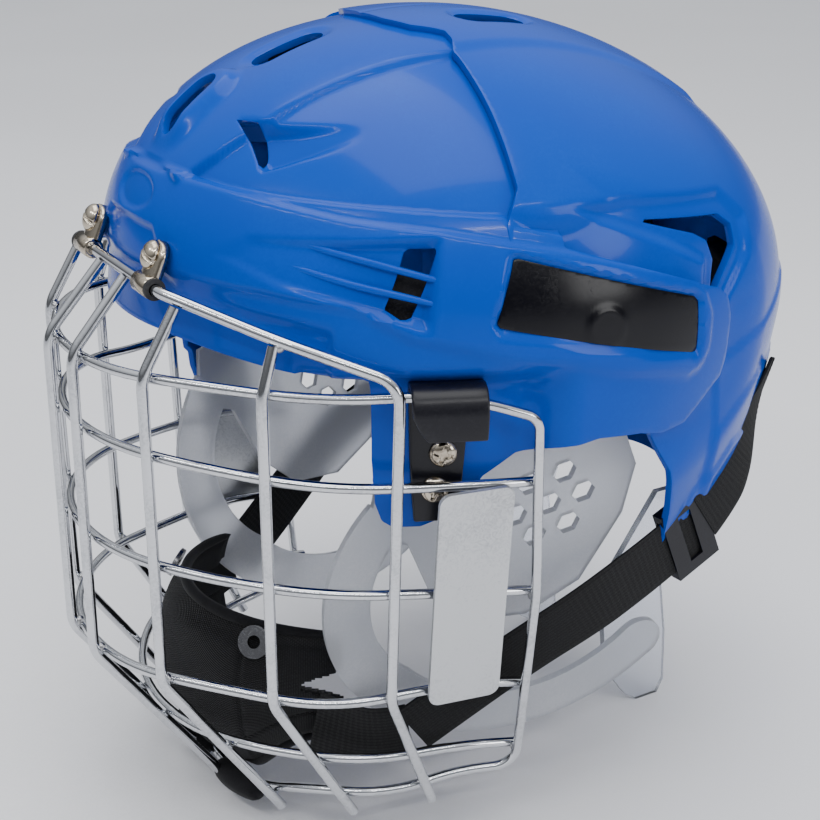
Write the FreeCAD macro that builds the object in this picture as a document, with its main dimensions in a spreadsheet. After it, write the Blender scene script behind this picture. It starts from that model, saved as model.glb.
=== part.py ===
"""Ice hockey helmet with a hinged wire cage, as an assembly of separate pieces.

Row frame: +Z up, the face looks along -Y, the wearer's left side is +X, and the floor
that the assembly stands on is z = 0. All sizes are millimetres.
"""
import FreeCAD, Part
import math
import os

Vec = FreeCAD.Vector
doc = FreeCAD.newDocument("HockeyHelmetCage")

# ---------------------------------------------------------------- driving dimensions
SIZES = {
    "shell_half_width": 114.3,
    "shell_half_length": 130.5,
    "crown_rise": 90.1,
    "skirt_drop": 206.8,
    "shell_skin": 2.8,
    "dome_centre_back": 12.1,
    "dome_centre_up": 197.9,
    "dome_tilt": 10.0,
    "bar_radius": 1.9,
    "cross_radius": 1.75,
    "weld_gap": 0.08,
    "hinge_forward": -119.5,
    "hinge_up": 213.8,
    "sleeve_centre": 27.5,
    "sleeve_length": 11.0,
    "sleeve_radius": 3.7,
    "hinge_clearance": 0.06,
    "plate_width": 26.0,
    "plate_tall": 84.0,
    "plate_skin": 1.5,
    "guard_skin": 2.6,
    "hex_hole": 9.0,
    "webbing_width": 23.0,
    "webbing_skin": 1.3,
    "screw_shank": 2.0,
    "screw_head": 4.6,
    "foam_skin": 9.0,
}
sheet = doc.addObject("Spreadsheet::Sheet", "Sizes")
for row, (alias, value) in enumerate(SIZES.items(), start=1):
    sheet.set("A%d" % row, alias)
    sheet.set("B%d" % row, str(value))
    sheet.setAlias("B%d" % row, alias)
doc.recompute()


def size(alias):
    """The value of one driving dimension."""
    return float(sheet.get(alias))


nodes = []


def keep(obj, label):
    """Gives a finished sub-part its label and puts it on the list to export."""
    obj.Label = label
    nodes.append(obj)
    return obj


def feature(name, shape):
    """A document object that holds a shape made with Part's own functions."""
    obj = doc.addObject("Part::Feature", name)
    obj.Shape = shape
    return obj


def boolean(kind, name, base, tool):
    """A cut or a common of two document objects."""
    obj = doc.addObject("Part::" + kind, name)
    obj.Base = base
    obj.Tool = tool
    return obj


def fuse(name, parts):
    """One fused object of several."""
    obj = doc.addObject("Part::MultiFuse", name)
    obj.Shapes = parts
    obj.Refine = False
    return obj


def cylinder(name, radius, length, base, direction):
    """A cylinder from a base point along a direction; radius may be a sheet expression."""
    obj = doc.addObject("Part::Cylinder", name)
    if isinstance(radius, str):
        obj.setExpression("Radius", radius)
    else:
        obj.Radius = radius
    obj.Height = length
    obj.Placement = FreeCAD.Placement(base, FreeCAD.Rotation(Vec(0, 0, 1), direction))
    return obj


# ---------------------------------------------------------------- the helmet's domed skins
dome_place = FreeCAD.Placement(
    Vec(0, size("dome_centre_back"), size("dome_centre_up")),
    FreeCAD.Rotation(Vec(1, 0, 0), -size("dome_tilt")))
domes = {}


def dome(offset):
    """The helmet's dome grown by offset: a low half-ellipsoid over a tall one."""
    if offset in domes:
        return domes[offset]
    tag = ("p%d" if offset > 0 else "m%d") % round(abs(offset) * 10)
    halves = []
    for half, rise, low, high in (("up", "crown_rise", 0, 90), ("down", "skirt_drop", -90, 0)):
        shape = doc.addObject("Part::Ellipsoid", "Dome_%s_%s" % (tag, half))
        shape.Angle1 = low
        shape.Angle2 = high
        shape.setExpression("Radius1", "Sizes.%s + %.2f" % (rise, offset))
        shape.setExpression("Radius2", "Sizes.shell_half_width + %.2f" % offset)
        shape.setExpression("Radius3", "Sizes.shell_half_length + %.2f" % offset)
        shape.Placement = dome_place
        halves.append(shape)
    domes[offset] = fuse("Dome_" + tag, halves)
    return domes[offset]


def skin(name, outer, inner):
    """The closed skin between two domes."""
    return boolean("Cut", name, dome(outer), dome(inner))


def outline_prism(name, points, low_x=-140.0, high_x=140.0):
    """A side-view outline, points of (y, z), pushed across the helmet."""
    loop = [Vec(low_x, y, z) for y, z in points]
    face = Part.Face(Part.makePolygon(loop + loop[:1]))
    return feature(name, face.extrude(Vec(high_x - low_x, 0, 0)))


def patch(name, layer, points, low_x=-140.0, high_x=140.0):
    """The part of a skin that lies inside a side-view outline."""
    return boolean("Common", name, layer, outline_prism(name + "_outline", points, low_x, high_x))


def dome_x(offset, y, z):
    """The half-width of a grown dome at a height and a depth."""
    tilt = math.radians(size("dome_tilt"))
    back = y - size("dome_centre_back")
    up = z - size("dome_centre_up")
    run = (back * math.cos(tilt) - up * math.sin(tilt)) / (size("shell_half_length") + offset)
    rise = back * math.sin(tilt) + up * math.cos(tilt)
    half = size("crown_rise") if rise > 0 else size("skirt_drop")
    rise = rise / (half + offset)
    return (size("shell_half_width") + offset) * math.sqrt(max(0.0, 1 - run * run - rise * rise))


# The front shell lies over the rear shell at the sides and under it at the crown.
SKIN = size("shell_skin")
CAP = 2.4
FRONT = -2.0
TUCK = -7.0
TEMPLE = -12.0
cap_skin = skin("CapSkin", CAP, CAP - SKIN)
front_skin = skin("FrontSkin", FRONT, FRONT - SKIN)
tuck_skin = skin("TuckSkin", TUCK, TUCK - SKIN)
temple_skin = skin("TempleSkin", TEMPLE, TEMPLE - SKIN)
front_step_skin = skin("FrontStepSkin", FRONT, TEMPLE - SKIN)
rear_step_skin = skin("RearStepSkin", CAP, TUCK - SKIN)

FRONT_OUTLINE = [
    (-135, 197), (-117, 197), (-97, 192.5), (-82, 190), (-10, 190), (-10, 163.5), (0, 165),
    (18, 163), (28, 160.5), (39, 161.5), (46, 166.5), (52, 171), (58, 174), (58.5, 198),
    (54, 204), (43, 210), (1, 225), (-12, 230), (-12, 262), (-2, 280), (-2, 300), (-135, 300)]
TEMPLE_OUTLINE = [
    (-71, 192), (-72.5, 160), (-71, 142), (-65, 132.5), (-56, 132.5), (-46, 137),
    (-37, 152), (-26, 159.5), (-10, 163.5), (-10, 192)]
STEP = 2.8
front_parts = [
    patch("FrontMain", front_skin, FRONT_OUTLINE),
    patch("FrontTemple", temple_skin, TEMPLE_OUTLINE),
    patch("FrontLedge", front_step_skin,
          [(-71, 190), (-10, 190), (-10, 163.5), (-10 + STEP, 163.5), (-10 + STEP, 190 + STEP),
           (-71, 190 + STEP)]),
]
front_solid = fuse("FrontSolid", front_parts)

# ---------------------------------------------------------------- vents and screw holes
CLIP_Y = -52.0
LOCK_Y, LOCK_Z = 10.0, 207.0
LOCK_FORWARD, LOCK_BACK = 8.0, 4.0
LOCK_HEAD = 4.1
SCREW_SPOTS = ((6.0, 163.2), (3.4, 150.6))  # along the hook's plate, and up
WRAP = Vec(0.913, -0.407, 0)
ALONG = Vec(0.407, 0.913, 0)
CLIP_SEAT = Vec(dome_x(TEMPLE, CLIP_Y, 168) + 0.9, CLIP_Y, 0)
BROW_LEAN = math.radians(24)
BROW_THROUGH = Vec(0, math.cos(BROW_LEAN), -math.sin(BROW_LEAN))
SCREW_UP = 7.6
STRAP_LIFT = 2.2
STRAP_SET = 0.2
STRAP_THICK = 2.6
STRAP_TALL = SCREW_UP + 4.9


def brow_mark(sign):
    """Where a brow screw's axis meets the front of its clip's strap."""
    foot = Vec(sign * size("sleeve_centre"), size("hinge_forward") + STRAP_SET,
               size("hinge_up") + STRAP_LIFT)
    return foot + Vec(0, math.sin(BROW_LEAN), math.cos(BROW_LEAN)) * SCREW_UP


SIDES = (("left", 1), ("right", -1))


def slot(name, centre, length, width, direction, depth=30.0):
    """A round-ended slot, its length along Y, pushed both ways along a direction."""
    half = (length - width) / 2.0
    ends = [Vec(0, -half, 0), Vec(0, half, 0)]
    rounds = [Part.makeCylinder(width / 2.0, depth, end) for end in ends]
    bar = Part.makeBox(width, 2 * half, depth, Vec(-width / 2.0, -half, 0))
    obj = feature(name, rounds[0].fuse([rounds[1], bar]).removeSplitter())
    turn = FreeCAD.Rotation(Vec(0, 0, 1), direction)
    obj.Placement = FreeCAD.Placement(centre - turn.multVec(Vec(0, 0, depth / 2.0)), turn)
    return obj


front_cuts = [
    slot("CrownSlotFront", Vec(0, -90, 268), 26, 11, Vec(0, -0.45, 0.89)),
    slot("CrownSlotMiddle", Vec(0, -54, 281), 30, 11, Vec(0, -0.25, 0.97)),
]
for side, sign in SIDES:
    front_cuts.append(outline_prism(
        "SideVent_" + side, [(-58, 231), (-49, 231), (-55, 210), (-64, 213)],
        min(sign * 60, sign * 130), max(sign * 60, sign * 130)))
    normal = Vec(sign * WRAP.x, WRAP.y, 0)
    for order, (along, height) in enumerate(SCREW_SPOTS):
        spot = CLIP_SEAT + ALONG * along
        base = Vec(sign * spot.x, spot.y, height) - normal * 10
        front_cuts.append(cylinder("ClipHole_%s_%d" % (side, order), "Sizes.screw_shank + 0.2",
                                   20, base, normal))
    lock_x = dome_x(FRONT, LOCK_Y, LOCK_Z)
    front_cuts.append(cylinder("LockHole_" + side, "Sizes.screw_shank + 0.2", 12,
                               Vec(sign * (lock_x - 8), LOCK_Y, LOCK_Z), Vec(sign, 0, 0)))
    front_cuts.append(cylinder("LockSink_" + side, LOCK_HEAD + 0.2, 6,
                               Vec(sign * (lock_x - 1.4), LOCK_Y, LOCK_Z), Vec(sign, 0, 0)))
    front_cuts.append(cylinder("BrowHole_" + side, "Sizes.screw_shank + 0.2", 14,
                               brow_mark(sign), BROW_THROUGH))
front_shell = boolean("Cut", "FrontShell", front_solid, fuse("FrontCuts", front_cuts))
keep(front_shell, "front_shell")

CAP_OUTLINE = [
    (-24, 236), (-22, 268), (-16, 278), (-16, 300), (170, 300), (170, 88), (68, 88),
    (68, 206), (43, 215), (1, 229.5), (-12, 234)]
TUCK_OUTLINE = [
    (-10, 232), (68, 206), (70, 88), (50, 88), (43, 96), (40, 125), (36, 143), (26, 159),
    (20, 168), (4, 169), (4, 195), (-10, 197)]
rear_parts = [
    patch("RearCap", cap_skin, CAP_OUTLINE),
    patch("RearTab", cap_skin, [(-34, 270), (-12, 270), (-12, 300), (-34, 300)], -32, 32),
    patch("RearTuck", tuck_skin, TUCK_OUTLINE),
    patch("RearTopStep", rear_step_skin,
          [(-3, 230.9), (1, 229.5), (43, 215), (68, 206), (68, 206 + STEP), (43, 215 + STEP),
           (1, 229.5 + STEP), (-3, 230.9 + STEP)]),
    patch("RearEndStep", rear_step_skin, [(68, 88), (68 + STEP, 88), (68 + STEP, 208), (68, 208)]),
]
rear_cuts = []
for side, sign in SIDES:
    rear_cuts.append(slot("CrownSlotRear_" + side, Vec(sign * 20, 15, 286), 27, 12,
                          Vec(0, 0.03, 1)))
    middle_y = LOCK_Y + (LOCK_FORWARD - LOCK_BACK) / 2
    lock_slot = slot("LockSlot_" + side, Vec(sign * dome_x(TUCK, middle_y, LOCK_Z), middle_y, LOCK_Z),
                     LOCK_FORWARD + LOCK_BACK + 4.8, 4.8, Vec(sign, 0, 0), 14.0)
    rear_cuts.append(lock_slot)
    rear_cuts.append(outline_prism(
        "RearVent_" + side, [(76, 214), (90, 212), (88, 186), (78, 178)],
        min(sign * 50, sign * 130), max(sign * 50, sign * 130)))
rear_shell = boolean("Cut", "RearShell", fuse("RearSolid", rear_parts), fuse("RearCuts", rear_cuts))
keep(rear_shell, "rear_shell")

# ---------------------------------------------------------------- inset panels on the wings
PANEL_OUTLINE = [(-22, 226.5), (-26, 208), (-20, 203), (34, 188), (41, 190), (43, 206), (38, 209)]
panel_skin = skin("PanelSkin", FRONT + 0.9, FRONT + 0.1)
for side, sign in SIDES:
    low, high = sorted((sign * 60, sign * 135))
    keep(patch("SidePanel_" + side, panel_skin, PANEL_OUTLINE, low, high), "side_panel_" + side)

# ---------------------------------------------------------------- size locks
# Each lock is a flat screw in the wing and a nut inside, and the rear shell's slot runs on it.
for side, sign in SIDES:
    outer_x = dome_x(FRONT, LOCK_Y, LOCK_Z) - 0.2
    nut_x = dome_x(TUCK - SKIN, LOCK_Y, LOCK_Z) - 1.3
    inwards = Vec(-sign, 0, 0)
    head = cylinder("LockHead_" + side, LOCK_HEAD, 1.15, Vec(sign * outer_x, LOCK_Y, LOCK_Z), inwards)
    shank = cylinder("LockShank_" + side, "Sizes.screw_shank", outer_x - nut_x + 2,
                     Vec(sign * outer_x, LOCK_Y, LOCK_Z), inwards)
    nut = cylinder("LockNut_" + side, 4.6, 2.2, Vec(sign * nut_x, LOCK_Y, LOCK_Z), inwards)
    keep(fuse("SizeLock_" + side, [head, shank, nut]), "size_lock_" + side)

# ---------------------------------------------------------------- foam liner
foam_skin = skin("FoamSkin", FRONT - SKIN - 0.5, FRONT - SKIN - 0.5 - size("foam_skin"))
rear_foam_skin = skin("RearFoamSkin", TUCK - SKIN - 0.5, TUCK - SKIN - 0.5 - size("foam_skin"))
keep(patch("BrowPad", foam_skin, [(-135, 203), (-84, 203), (-84, 240), (-135, 240)], -62, 62),
     "brow_pad")
keep(patch("CrownPad", foam_skin, [(-46, 240), (-16, 240), (-16, 300), (-46, 300)], -44, 44),
     "crown_pad")
for side, sign in SIDES:
    low, high = sorted((sign * 50, sign * 130))
    keep(patch("TemplePad_" + side, foam_skin,
               [(-80, 194), (-28, 194), (-28, 222), (-80, 226)], low, high), "temple_pad_" + side)
    low, high = sorted((sign * 22, sign * 130))
    keep(patch("RearPad_" + side, rear_foam_skin,
               [(84, 108), (170, 108), (170, 196), (84, 196)], low, high), "rear_pad_" + side)
keep(patch("RearCrownPad", rear_foam_skin, [(6, 240), (70, 240), (70, 300), (6, 300)], -44, 44),
     "rear_crown_pad")

# ---------------------------------------------------------------- cage wires
BAR = size("bar_radius")
CROSS = size("cross_radius")
APART = BAR + CROSS + size("weld_gap")
HINGE = Vec(0, size("hinge_forward"), size("hinge_up"))

# Crossings on each upright bar's own line, left side: brow, rows 1 to 5, rim foot.
BARS = {
    1: [Vec(11, -122, 212), Vec(12, -141, 189), Vec(12, -141, 161.5), Vec(12, -141.4, 121.5),
        Vec(11.5, -142, 77.5), Vec(11, -118.5, 42), Vec(11, -94.7, 7.5)],
    2: [Vec(44.5, -116, 212), Vec(45, -129.5, 189), Vec(45, -129.5, 161), Vec(44.7, -129.5, 121),
        Vec(44, -129.5, 78), Vec(44, -107, 43), Vec(44.3, -90.5, 17.5)],
    3: [Vec(72, -96, 204), Vec(73, -101.5, 186.5), Vec(73.3, -101.5, 157), Vec(73.2, -101.5, 118),
        Vec(72.5, -101.5, 75.5), Vec(69, -84, 43), Vec(70, -74, 25.5)],
    4: [Vec(96.2, -65.5, 191.5), Vec(95.2, -66, 185), Vec(93.4, -66, 153.5), Vec(91.2, -66, 114),
        Vec(88.7, -65, 73), Vec(83.5, -52, 42), Vec(81.5, -46, 27)],
    5: [Vec(111, -22, 178.5), Vec(111, -22, 178.5), Vec(107, -19.2, 150), Vec(100.8, -15, 106),
        Vec(93.6, -13.6, 66), Vec(88.6, -12.7, 38), Vec(87.3, -12.5, 31)],
}
INNER = Vec(0, 10, 120)


def inward(bar, row):
    """The unit direction into the cage, square to an upright bar at one of its crossings."""
    line = BARS[bar]
    above = line[max(row - 1, 0)]
    below = line[min(row + 1, len(line) - 1)]
    if bar < 5 and row == 4:
        above, below = line[3], line[4]
    along = (below - above).normalize()
    flat = INNER - line[row]
    across = {1: 8, 2: 28, 3: 56, 4: 70, 5: 80}[bar]
    side = Vec(-math.sin(math.radians(across)), math.cos(math.radians(across)), 0)
    if row >= 5 and bar < 5:
        side = side + Vec(0, 0, 0.7)
    out = side - along * side.dot(along)
    return out.normalize() if out.dot(flat) > 0 else out.normalize() * -1


def crossing(bar, row):
    """Where a cross wire's centre passes behind an upright bar."""
    return BARS[bar][row] + inward(bar, row) * APART


def arc_chain(points, tangent):
    """Tangent arcs that pass through every point, from a start tangent."""
    edges = []
    direction = Vec(tangent).normalize()
    for start, end in zip(points, points[1:]):
        chord = end - start
        half = chord.normalize().dot(direction)
        span = end - start
        if half > 0.99999:
            edges.append(Part.LineSegment(start, end).toShape())
            continue
        turn = math.acos(max(-1.0, min(1.0, half)))
        unit = Vec(span).normalize()
        lift = (direction - unit * direction.dot(unit)).normalize()
        bulge = span.Length / 2.0 * math.tan(turn / 2.0)
        middle = (start + end) * 0.5 + lift * bulge
        edges.append(Part.Arc(start, middle, end).toShape())
        direction = (unit * (2 * unit.dot(direction)) - direction).normalize()
    return edges, direction


def rounded_path(points, radii):
    """Straight runs through points with a tangent arc at each inner point."""
    edges = []
    here = points[0]
    for before, corner, after, radius in zip(points, points[1:], points[2:], radii):
        back = (before - corner).normalize()
        ahead = (after - corner).normalize()
        half = math.acos(max(-1.0, min(1.0, back.dot(ahead)))) / 2.0
        setback = radius / math.tan(half)
        start = corner + back * setback
        end = corner + ahead * setback
        middle = corner + (back + ahead).normalize() * (radius / math.sin(half) - radius)
        if (start - here).Length > 1e-6:
            edges.append(Part.LineSegment(here, start).toShape())
        edges.append(Part.Arc(start, middle, end).toShape())
        here = end
    edges.append(Part.LineSegment(here, points[-1]).toShape())
    return edges


def mirrored(edge):
    """The same edge on the other side of the helmet."""
    return edge.mirror(Vec(0, 0, 0), Vec(1, 0, 0))


def wire_bar(label, edges, radius_alias):
    """A round bar swept along a path of tangent edges."""
    path = feature(label.title().replace("_", "") + "Path", Part.Wire(Part.__sortEdges__(edges)))
    ordered = path.Shape.OrderedEdges
    first = ordered[0]
    start = path.Shape.OrderedVertexes[0].Point
    ahead = first.tangentAt(first.FirstParameter)
    if (first.valueAt(first.FirstParameter) - start).Length > 1e-6:
        ahead = first.tangentAt(first.LastParameter) * -1
    ring = doc.addObject("Part::Circle", label.title().replace("_", "") + "Ring")
    ring.setExpression("Radius", "Sizes." + radius_alias)
    ring.Placement = FreeCAD.Placement(start, FreeCAD.Rotation(Vec(0, 0, 1), ahead))
    bar = doc.addObject("Part::Sweep", label.title().replace("_", ""))
    bar.Sections = [ring]
    bar.Spine = (path, ["Edge%d" % (i + 1) for i in range(len(path.Shape.Edges))])
    bar.Solid = True
    bar.Frenet = False
    return keep(bar, label)


def past(start, end, distance):
    """A point beyond the end of a run."""
    return end + (end - start).normalize() * distance


# The brow wire turns in the two sleeves and comes down each side as the fourth bar.
BEND = 37.5
brow_points = [Vec(0, HINGE.y, HINGE.z), Vec(BEND, HINGE.y, HINGE.z), BARS[3][0], BARS[4][0],
               BARS[4][4], past(BARS[4][5], BARS[4][6], 6)]
brow_half = rounded_path(brow_points, [14, 60, 10, 16])
wire_bar("brow_wire", [mirrored(e) for e in brow_half] + brow_half, "bar_radius")

# The rim wire runs behind the bars at row 1, down the fifth bar and round under the chin.
RUN_OUT = 12.0
rim_front = crossing(1, 1)
rim_back = BARS[5][0] + (crossing(4, 1) - BARS[5][0]).normalize() * RUN_OUT
upper_points = [Vec(0, rim_front.y - 0.7, rim_front.z)] + [crossing(i, 1) for i in (1, 2, 3, 4)]
upper_edges, leave = arc_chain(upper_points + [rim_back], Vec(1, 0, 0))
rim_foot = BARS[5][6] + (crossing(4, 6) - BARS[5][6]).normalize() * RUN_OUT
BUTT = 0.15
lower_start = Vec(BUTT, crossing(1, 6).y - 0.3, crossing(1, 6).z - 0.6)
lower_points = [lower_start] + [crossing(i, 6) for i in (1, 2, 3, 4)]
lower_edges, arrive = arc_chain(lower_points + [rim_foot], Vec(1, 0, 0))
leg_points = [rim_back, rim_back + leave * RUN_OUT, BARS[5][3], rim_foot + arrive * RUN_OUT,
              rim_foot]
half_rim = upper_edges + rounded_path(leg_points, [7, 60, 9]) + lower_edges
wire_bar("rim_wire", [mirrored(e) for e in half_rim] + half_rim, "cross_radius")


def leg_at(z):
    """The rim leg's centre at a height."""
    above, below = (leg_points[1], leg_points[2]) if z > leg_points[2].z else leg_points[2:4]
    part_way = (above.z - z) / (above.z - below.z)
    return above + (below - above) * part_way



BEND_LIFT = 0.35
FOOT_PAST = {1: 7.85, 2: 7.0, 3: 7.0}
# Three upright bars each side, welded under the brow wire and cut off below the rim.
for bar in (1, 2, 3):
    line = BARS[bar]
    top = line[0]
    if bar == 1:
        seat = Vec(top.x, HINGE.y, HINGE.z)
    else:
        seat = top
    ahead = (line[1] - seat).normalize()
    points = [seat + ahead * (BAR + 0.05), line[1] - inward(bar, 1) * BEND_LIFT,
              line[4] - inward(bar, 4) * BEND_LIFT, past(line[5], line[6], FOOT_PAST[bar])]
    half = rounded_path(points, [14, 14])
    wire_bar("upright_%d_left" % bar, half, "bar_radius")
    wire_bar("upright_%d_right" % bar, [mirrored(e) for e in half], "bar_radius")

# Four cross wires behind the uprights, each butted on the rim's rear legs.
for row in (2, 3, 4, 5):
    nodes_here = [crossing(i, row) for i in (1, 2, 3, 4)]
    leg = leg_at(BARS[5][row].z) + inward(5, row) * (2 * CROSS + 0.15)
    points = [Vec(0, nodes_here[0].y - 0.7, nodes_here[0].z)] + nodes_here + [leg]
    half, end = arc_chain(points, Vec(1, 0, 0))
    tail = Part.LineSegment(leg, leg + end * 2.4).toShape()
    half = half + [tail]
    wire_bar("cross_wire_%d" % row, [mirrored(e) for e in half] + half, "cross_radius")

# ---------------------------------------------------------------- side plates on the cage
def tilted(origin, across, up):
    """A placement whose X runs across, Z runs up and Y points away from both."""
    along = Vec(across).normalize()
    depth = Vec(up).cross(along).normalize()
    rise = along.cross(depth).normalize()
    turn = FreeCAD.Rotation(along, depth, rise, "ZXY")
    return FreeCAD.Placement(origin, turn)


def on_side(point, sign):
    """A left-side point on the wanted side."""
    return Vec(point.x * sign, point.y, point.z)


PLATE_Y = -39.0
PLATE_LOW = Vec(93.2, PLATE_Y, 69.0)
PLATE_HIGH = Vec(103.1, PLATE_Y, 153.0)
for side, sign in SIDES:
    plate = doc.addObject("Part::Box", "SidePlateBlank_" + side)
    plate.setExpression("Length", "Sizes.plate_width")
    plate.setExpression("Width", "Sizes.plate_skin")
    plate.setExpression("Height", "Sizes.plate_tall")
    across = Vec(sign * 0.19, 1, 0) * sign
    place = tilted(on_side(PLATE_LOW, sign), across, on_side(PLATE_HIGH - PLATE_LOW, sign))
    shift = place.Rotation.multVec(Vec(-size("plate_width") / 2, -size("plate_skin") / 2, 0))
    place.Base = place.Base + shift
    plate.Placement = place
    doc.recompute()
    rounded = doc.addObject("Part::Fillet", "SidePlate_" + side)
    rounded.Base = plate
    short = [i + 1 for i, e in enumerate(plate.Shape.Edges)
             if abs(e.Length - size("plate_skin")) < 0.01]
    rounded.Edges = [(i, 4.0, 4.0) for i in short]
    keep(rounded, "side_plate_" + side)

# ---------------------------------------------------------------- frosted ear guards
GUARD_TOP = Vec(88.0, 0, 165)
GUARD_LEAN = 0.167
GUARD_TURN = 0.16
GUARD_PANEL = [
    (-64, 128), (-62, 150), (-27, 158), (9, 160.5), (27, 157), (35, 140), (33, 120), (20, 93),
    (0, 82), (-22, 84), (-38, 98), (-49, 122)]
LOOP_OUTER = [(-64, 140), (-77, 92), (-56, 52), (-5, 29), (56, 50)]
LOOP_INNER = [(-47, 132), (-60, 92), (-43, 66), (-5, 46.5), (44, 64)]
HEX_PITCH = 13.0
HEX_CENTRE = (2.5, 128.5)


def guard_point(y, z, lift=0.0):
    """A point of the ear guard's leaning plane, left side."""
    across = GUARD_TOP.x + GUARD_LEAN * (z - GUARD_TOP.z) + GUARD_TURN * (y - GUARD_TOP.y)
    return Vec(across + lift, y, z)


def loop_face():
    """The band that runs below the ear, as arcs through named points."""
    outer = [guard_point(*p) for p in LOOP_OUTER]
    inner = [guard_point(*p) for p in LOOP_INNER]
    edges = [
        Part.Arc(outer[0], outer[1], outer[2]).toShape(),
        Part.Arc(outer[2], outer[3], outer[4]).toShape(),
        Part.Arc(outer[4], guard_point(59, 62), inner[4]).toShape(),
        Part.Arc(inner[4], inner[3], inner[2]).toShape(),
        Part.Arc(inner[2], inner[1], inner[0]).toShape(),
        Part.LineSegment(inner[0], outer[0]).toShape(),
    ]
    return Part.Face(Part.Wire(edges))


guard_normal = Vec(1, -GUARD_TURN, -GUARD_LEAN).normalize()
guard_thick = guard_normal * -size("guard_skin")
panel_points = [guard_point(*p) for p in GUARD_PANEL]
panel_solid = Part.Face(Part.makePolygon(panel_points + panel_points[:1])).extrude(guard_thick)
guard_solid = panel_solid.fuse(loop_face().extrude(guard_thick)).removeSplitter()
holes = []
for ring in range(7):
    angle = math.radians(60 * ring + 12)
    reach = HEX_PITCH if ring < 6 else 0.0
    middle = guard_point(HEX_CENTRE[0] + reach * math.cos(angle),
                         HEX_CENTRE[1] + reach * math.sin(angle))
    corners = []
    for corner in range(6):
        turn = math.radians(60 * corner + 12)
        corners.append(guard_point(middle.y + size("hex_hole") / 2 * math.cos(turn),
                                   middle.z + size("hex_hole") / 2 * math.sin(turn), 3))
    prism = Part.Face(Part.makePolygon(corners + corners[:1])).extrude(guard_normal * -9)
    holes.append(prism)
guard_solid = guard_solid.cut(holes)
for side, sign in SIDES:
    shape = guard_solid if sign > 0 else guard_solid.mirror(Vec(0, 0, 0), Vec(1, 0, 0))
    keep(feature("EarGuard_" + side, shape), "ear_guard_" + side)

# Clear tabs under the nape that the helmet rests on.
TAB_OUTLINE = [(62, 60), (66, 20), (78, 4), (84, 0), (95, 0), (98, 6), (97, 30), (92, 62)]
for side, sign in SIDES:
    low, high = sorted((sign * 38.0, sign * 41.0))
    upper = outline_prism("RearTabHang_" + side, TAB_OUTLINE, low, high)
    hook = outline_prism("RearTabHook_" + side,
                         [(62, 60), (92, 62), (100, 88), (97, 97), (88, 97)], low, high)
    keep(fuse("RearTab_" + side, [upper, hook]), "rear_tab_" + side)

# ---------------------------------------------------------------- hooks over the rim wire
CLIP_SKIN = 2.6


def hook_block(name, out, thick, low, high, width, shift=0.0):
    """A block of the hook, measured outwards from the seat on the temple."""
    box = doc.addObject("Part::Box", name)
    box.Length = thick
    box.Width = width
    box.Height = high - low
    corner = CLIP_SEAT + WRAP * out + ALONG * (shift - width / 2) + Vec(0, 0, low)
    box.Placement = FreeCAD.Placement(corner, FreeCAD.Rotation(Vec(0, 0, 1), -24.03))
    return box


FLAP_OUT = 15.0
for side, sign in SIDES:
    blocks = [
        hook_block("HookBack_" + side, 0, CLIP_SKIN, 139, 189.7, 19, 4.5),
        hook_block("HookBridge_" + side, 0, FLAP_OUT + CLIP_SKIN, 187.7, 189.7, 24, 6.5),
        hook_block("HookFlap_" + side, FLAP_OUT, CLIP_SKIN, 173, 189.7, 24, 6.5),
    ]
    body = fuse("HookBody_" + side, blocks)
    bores = []
    for order, (along, height) in enumerate(SCREW_SPOTS):
        spot = CLIP_SEAT + ALONG * along + Vec(0, 0, height)
        bores.append(cylinder("HookBore_%s_%d" % (side, order), "Sizes.screw_shank + 0.2", 8,
                              spot - WRAP * 2, WRAP))
    hook = boolean("Cut", "Hook_" + side, body, fuse("HookBores_" + side, bores))
    screws = []
    for order, (along, height) in enumerate(SCREW_SPOTS):
        seat = CLIP_SEAT + ALONG * along + Vec(0, 0, height) + WRAP * (CLIP_SKIN + 0.05)
        shank = cylinder("HookShank_%s_%d" % (side, order), "Sizes.screw_shank", 9.5,
                         seat - WRAP * 9.5, WRAP)
        head = cylinder("HookHead_%s_%d" % (side, order), "Sizes.screw_head", 1.9, seat, WRAP)
        nut = cylinder("HookNut_%s_%d" % (side, order), "Sizes.screw_head - 0.4", 2.0,
                       seat - WRAP * 11.5, WRAP)
        screws.append(fuse("HookScrew_%s_%d" % (side, order), [shank, head, nut]))
    doc.recompute()
    if sign > 0:
        keep(hook, "side_clip_left")
        pair = feature("HookScrews_left", Part.makeCompound([s.Shape for s in screws]))
        keep(pair, "side_clip_screws_left")
    else:
        flip = hook.Shape.mirror(Vec(0, 0, 0), Vec(1, 0, 0))
        keep(feature("HookRight", flip), "side_clip_right")
        both = Part.makeCompound([s.Shape for s in screws]).mirror(Vec(0, 0, 0), Vec(1, 0, 0))
        keep(feature("HookScrews_right", both), "side_clip_screws_right")

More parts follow.
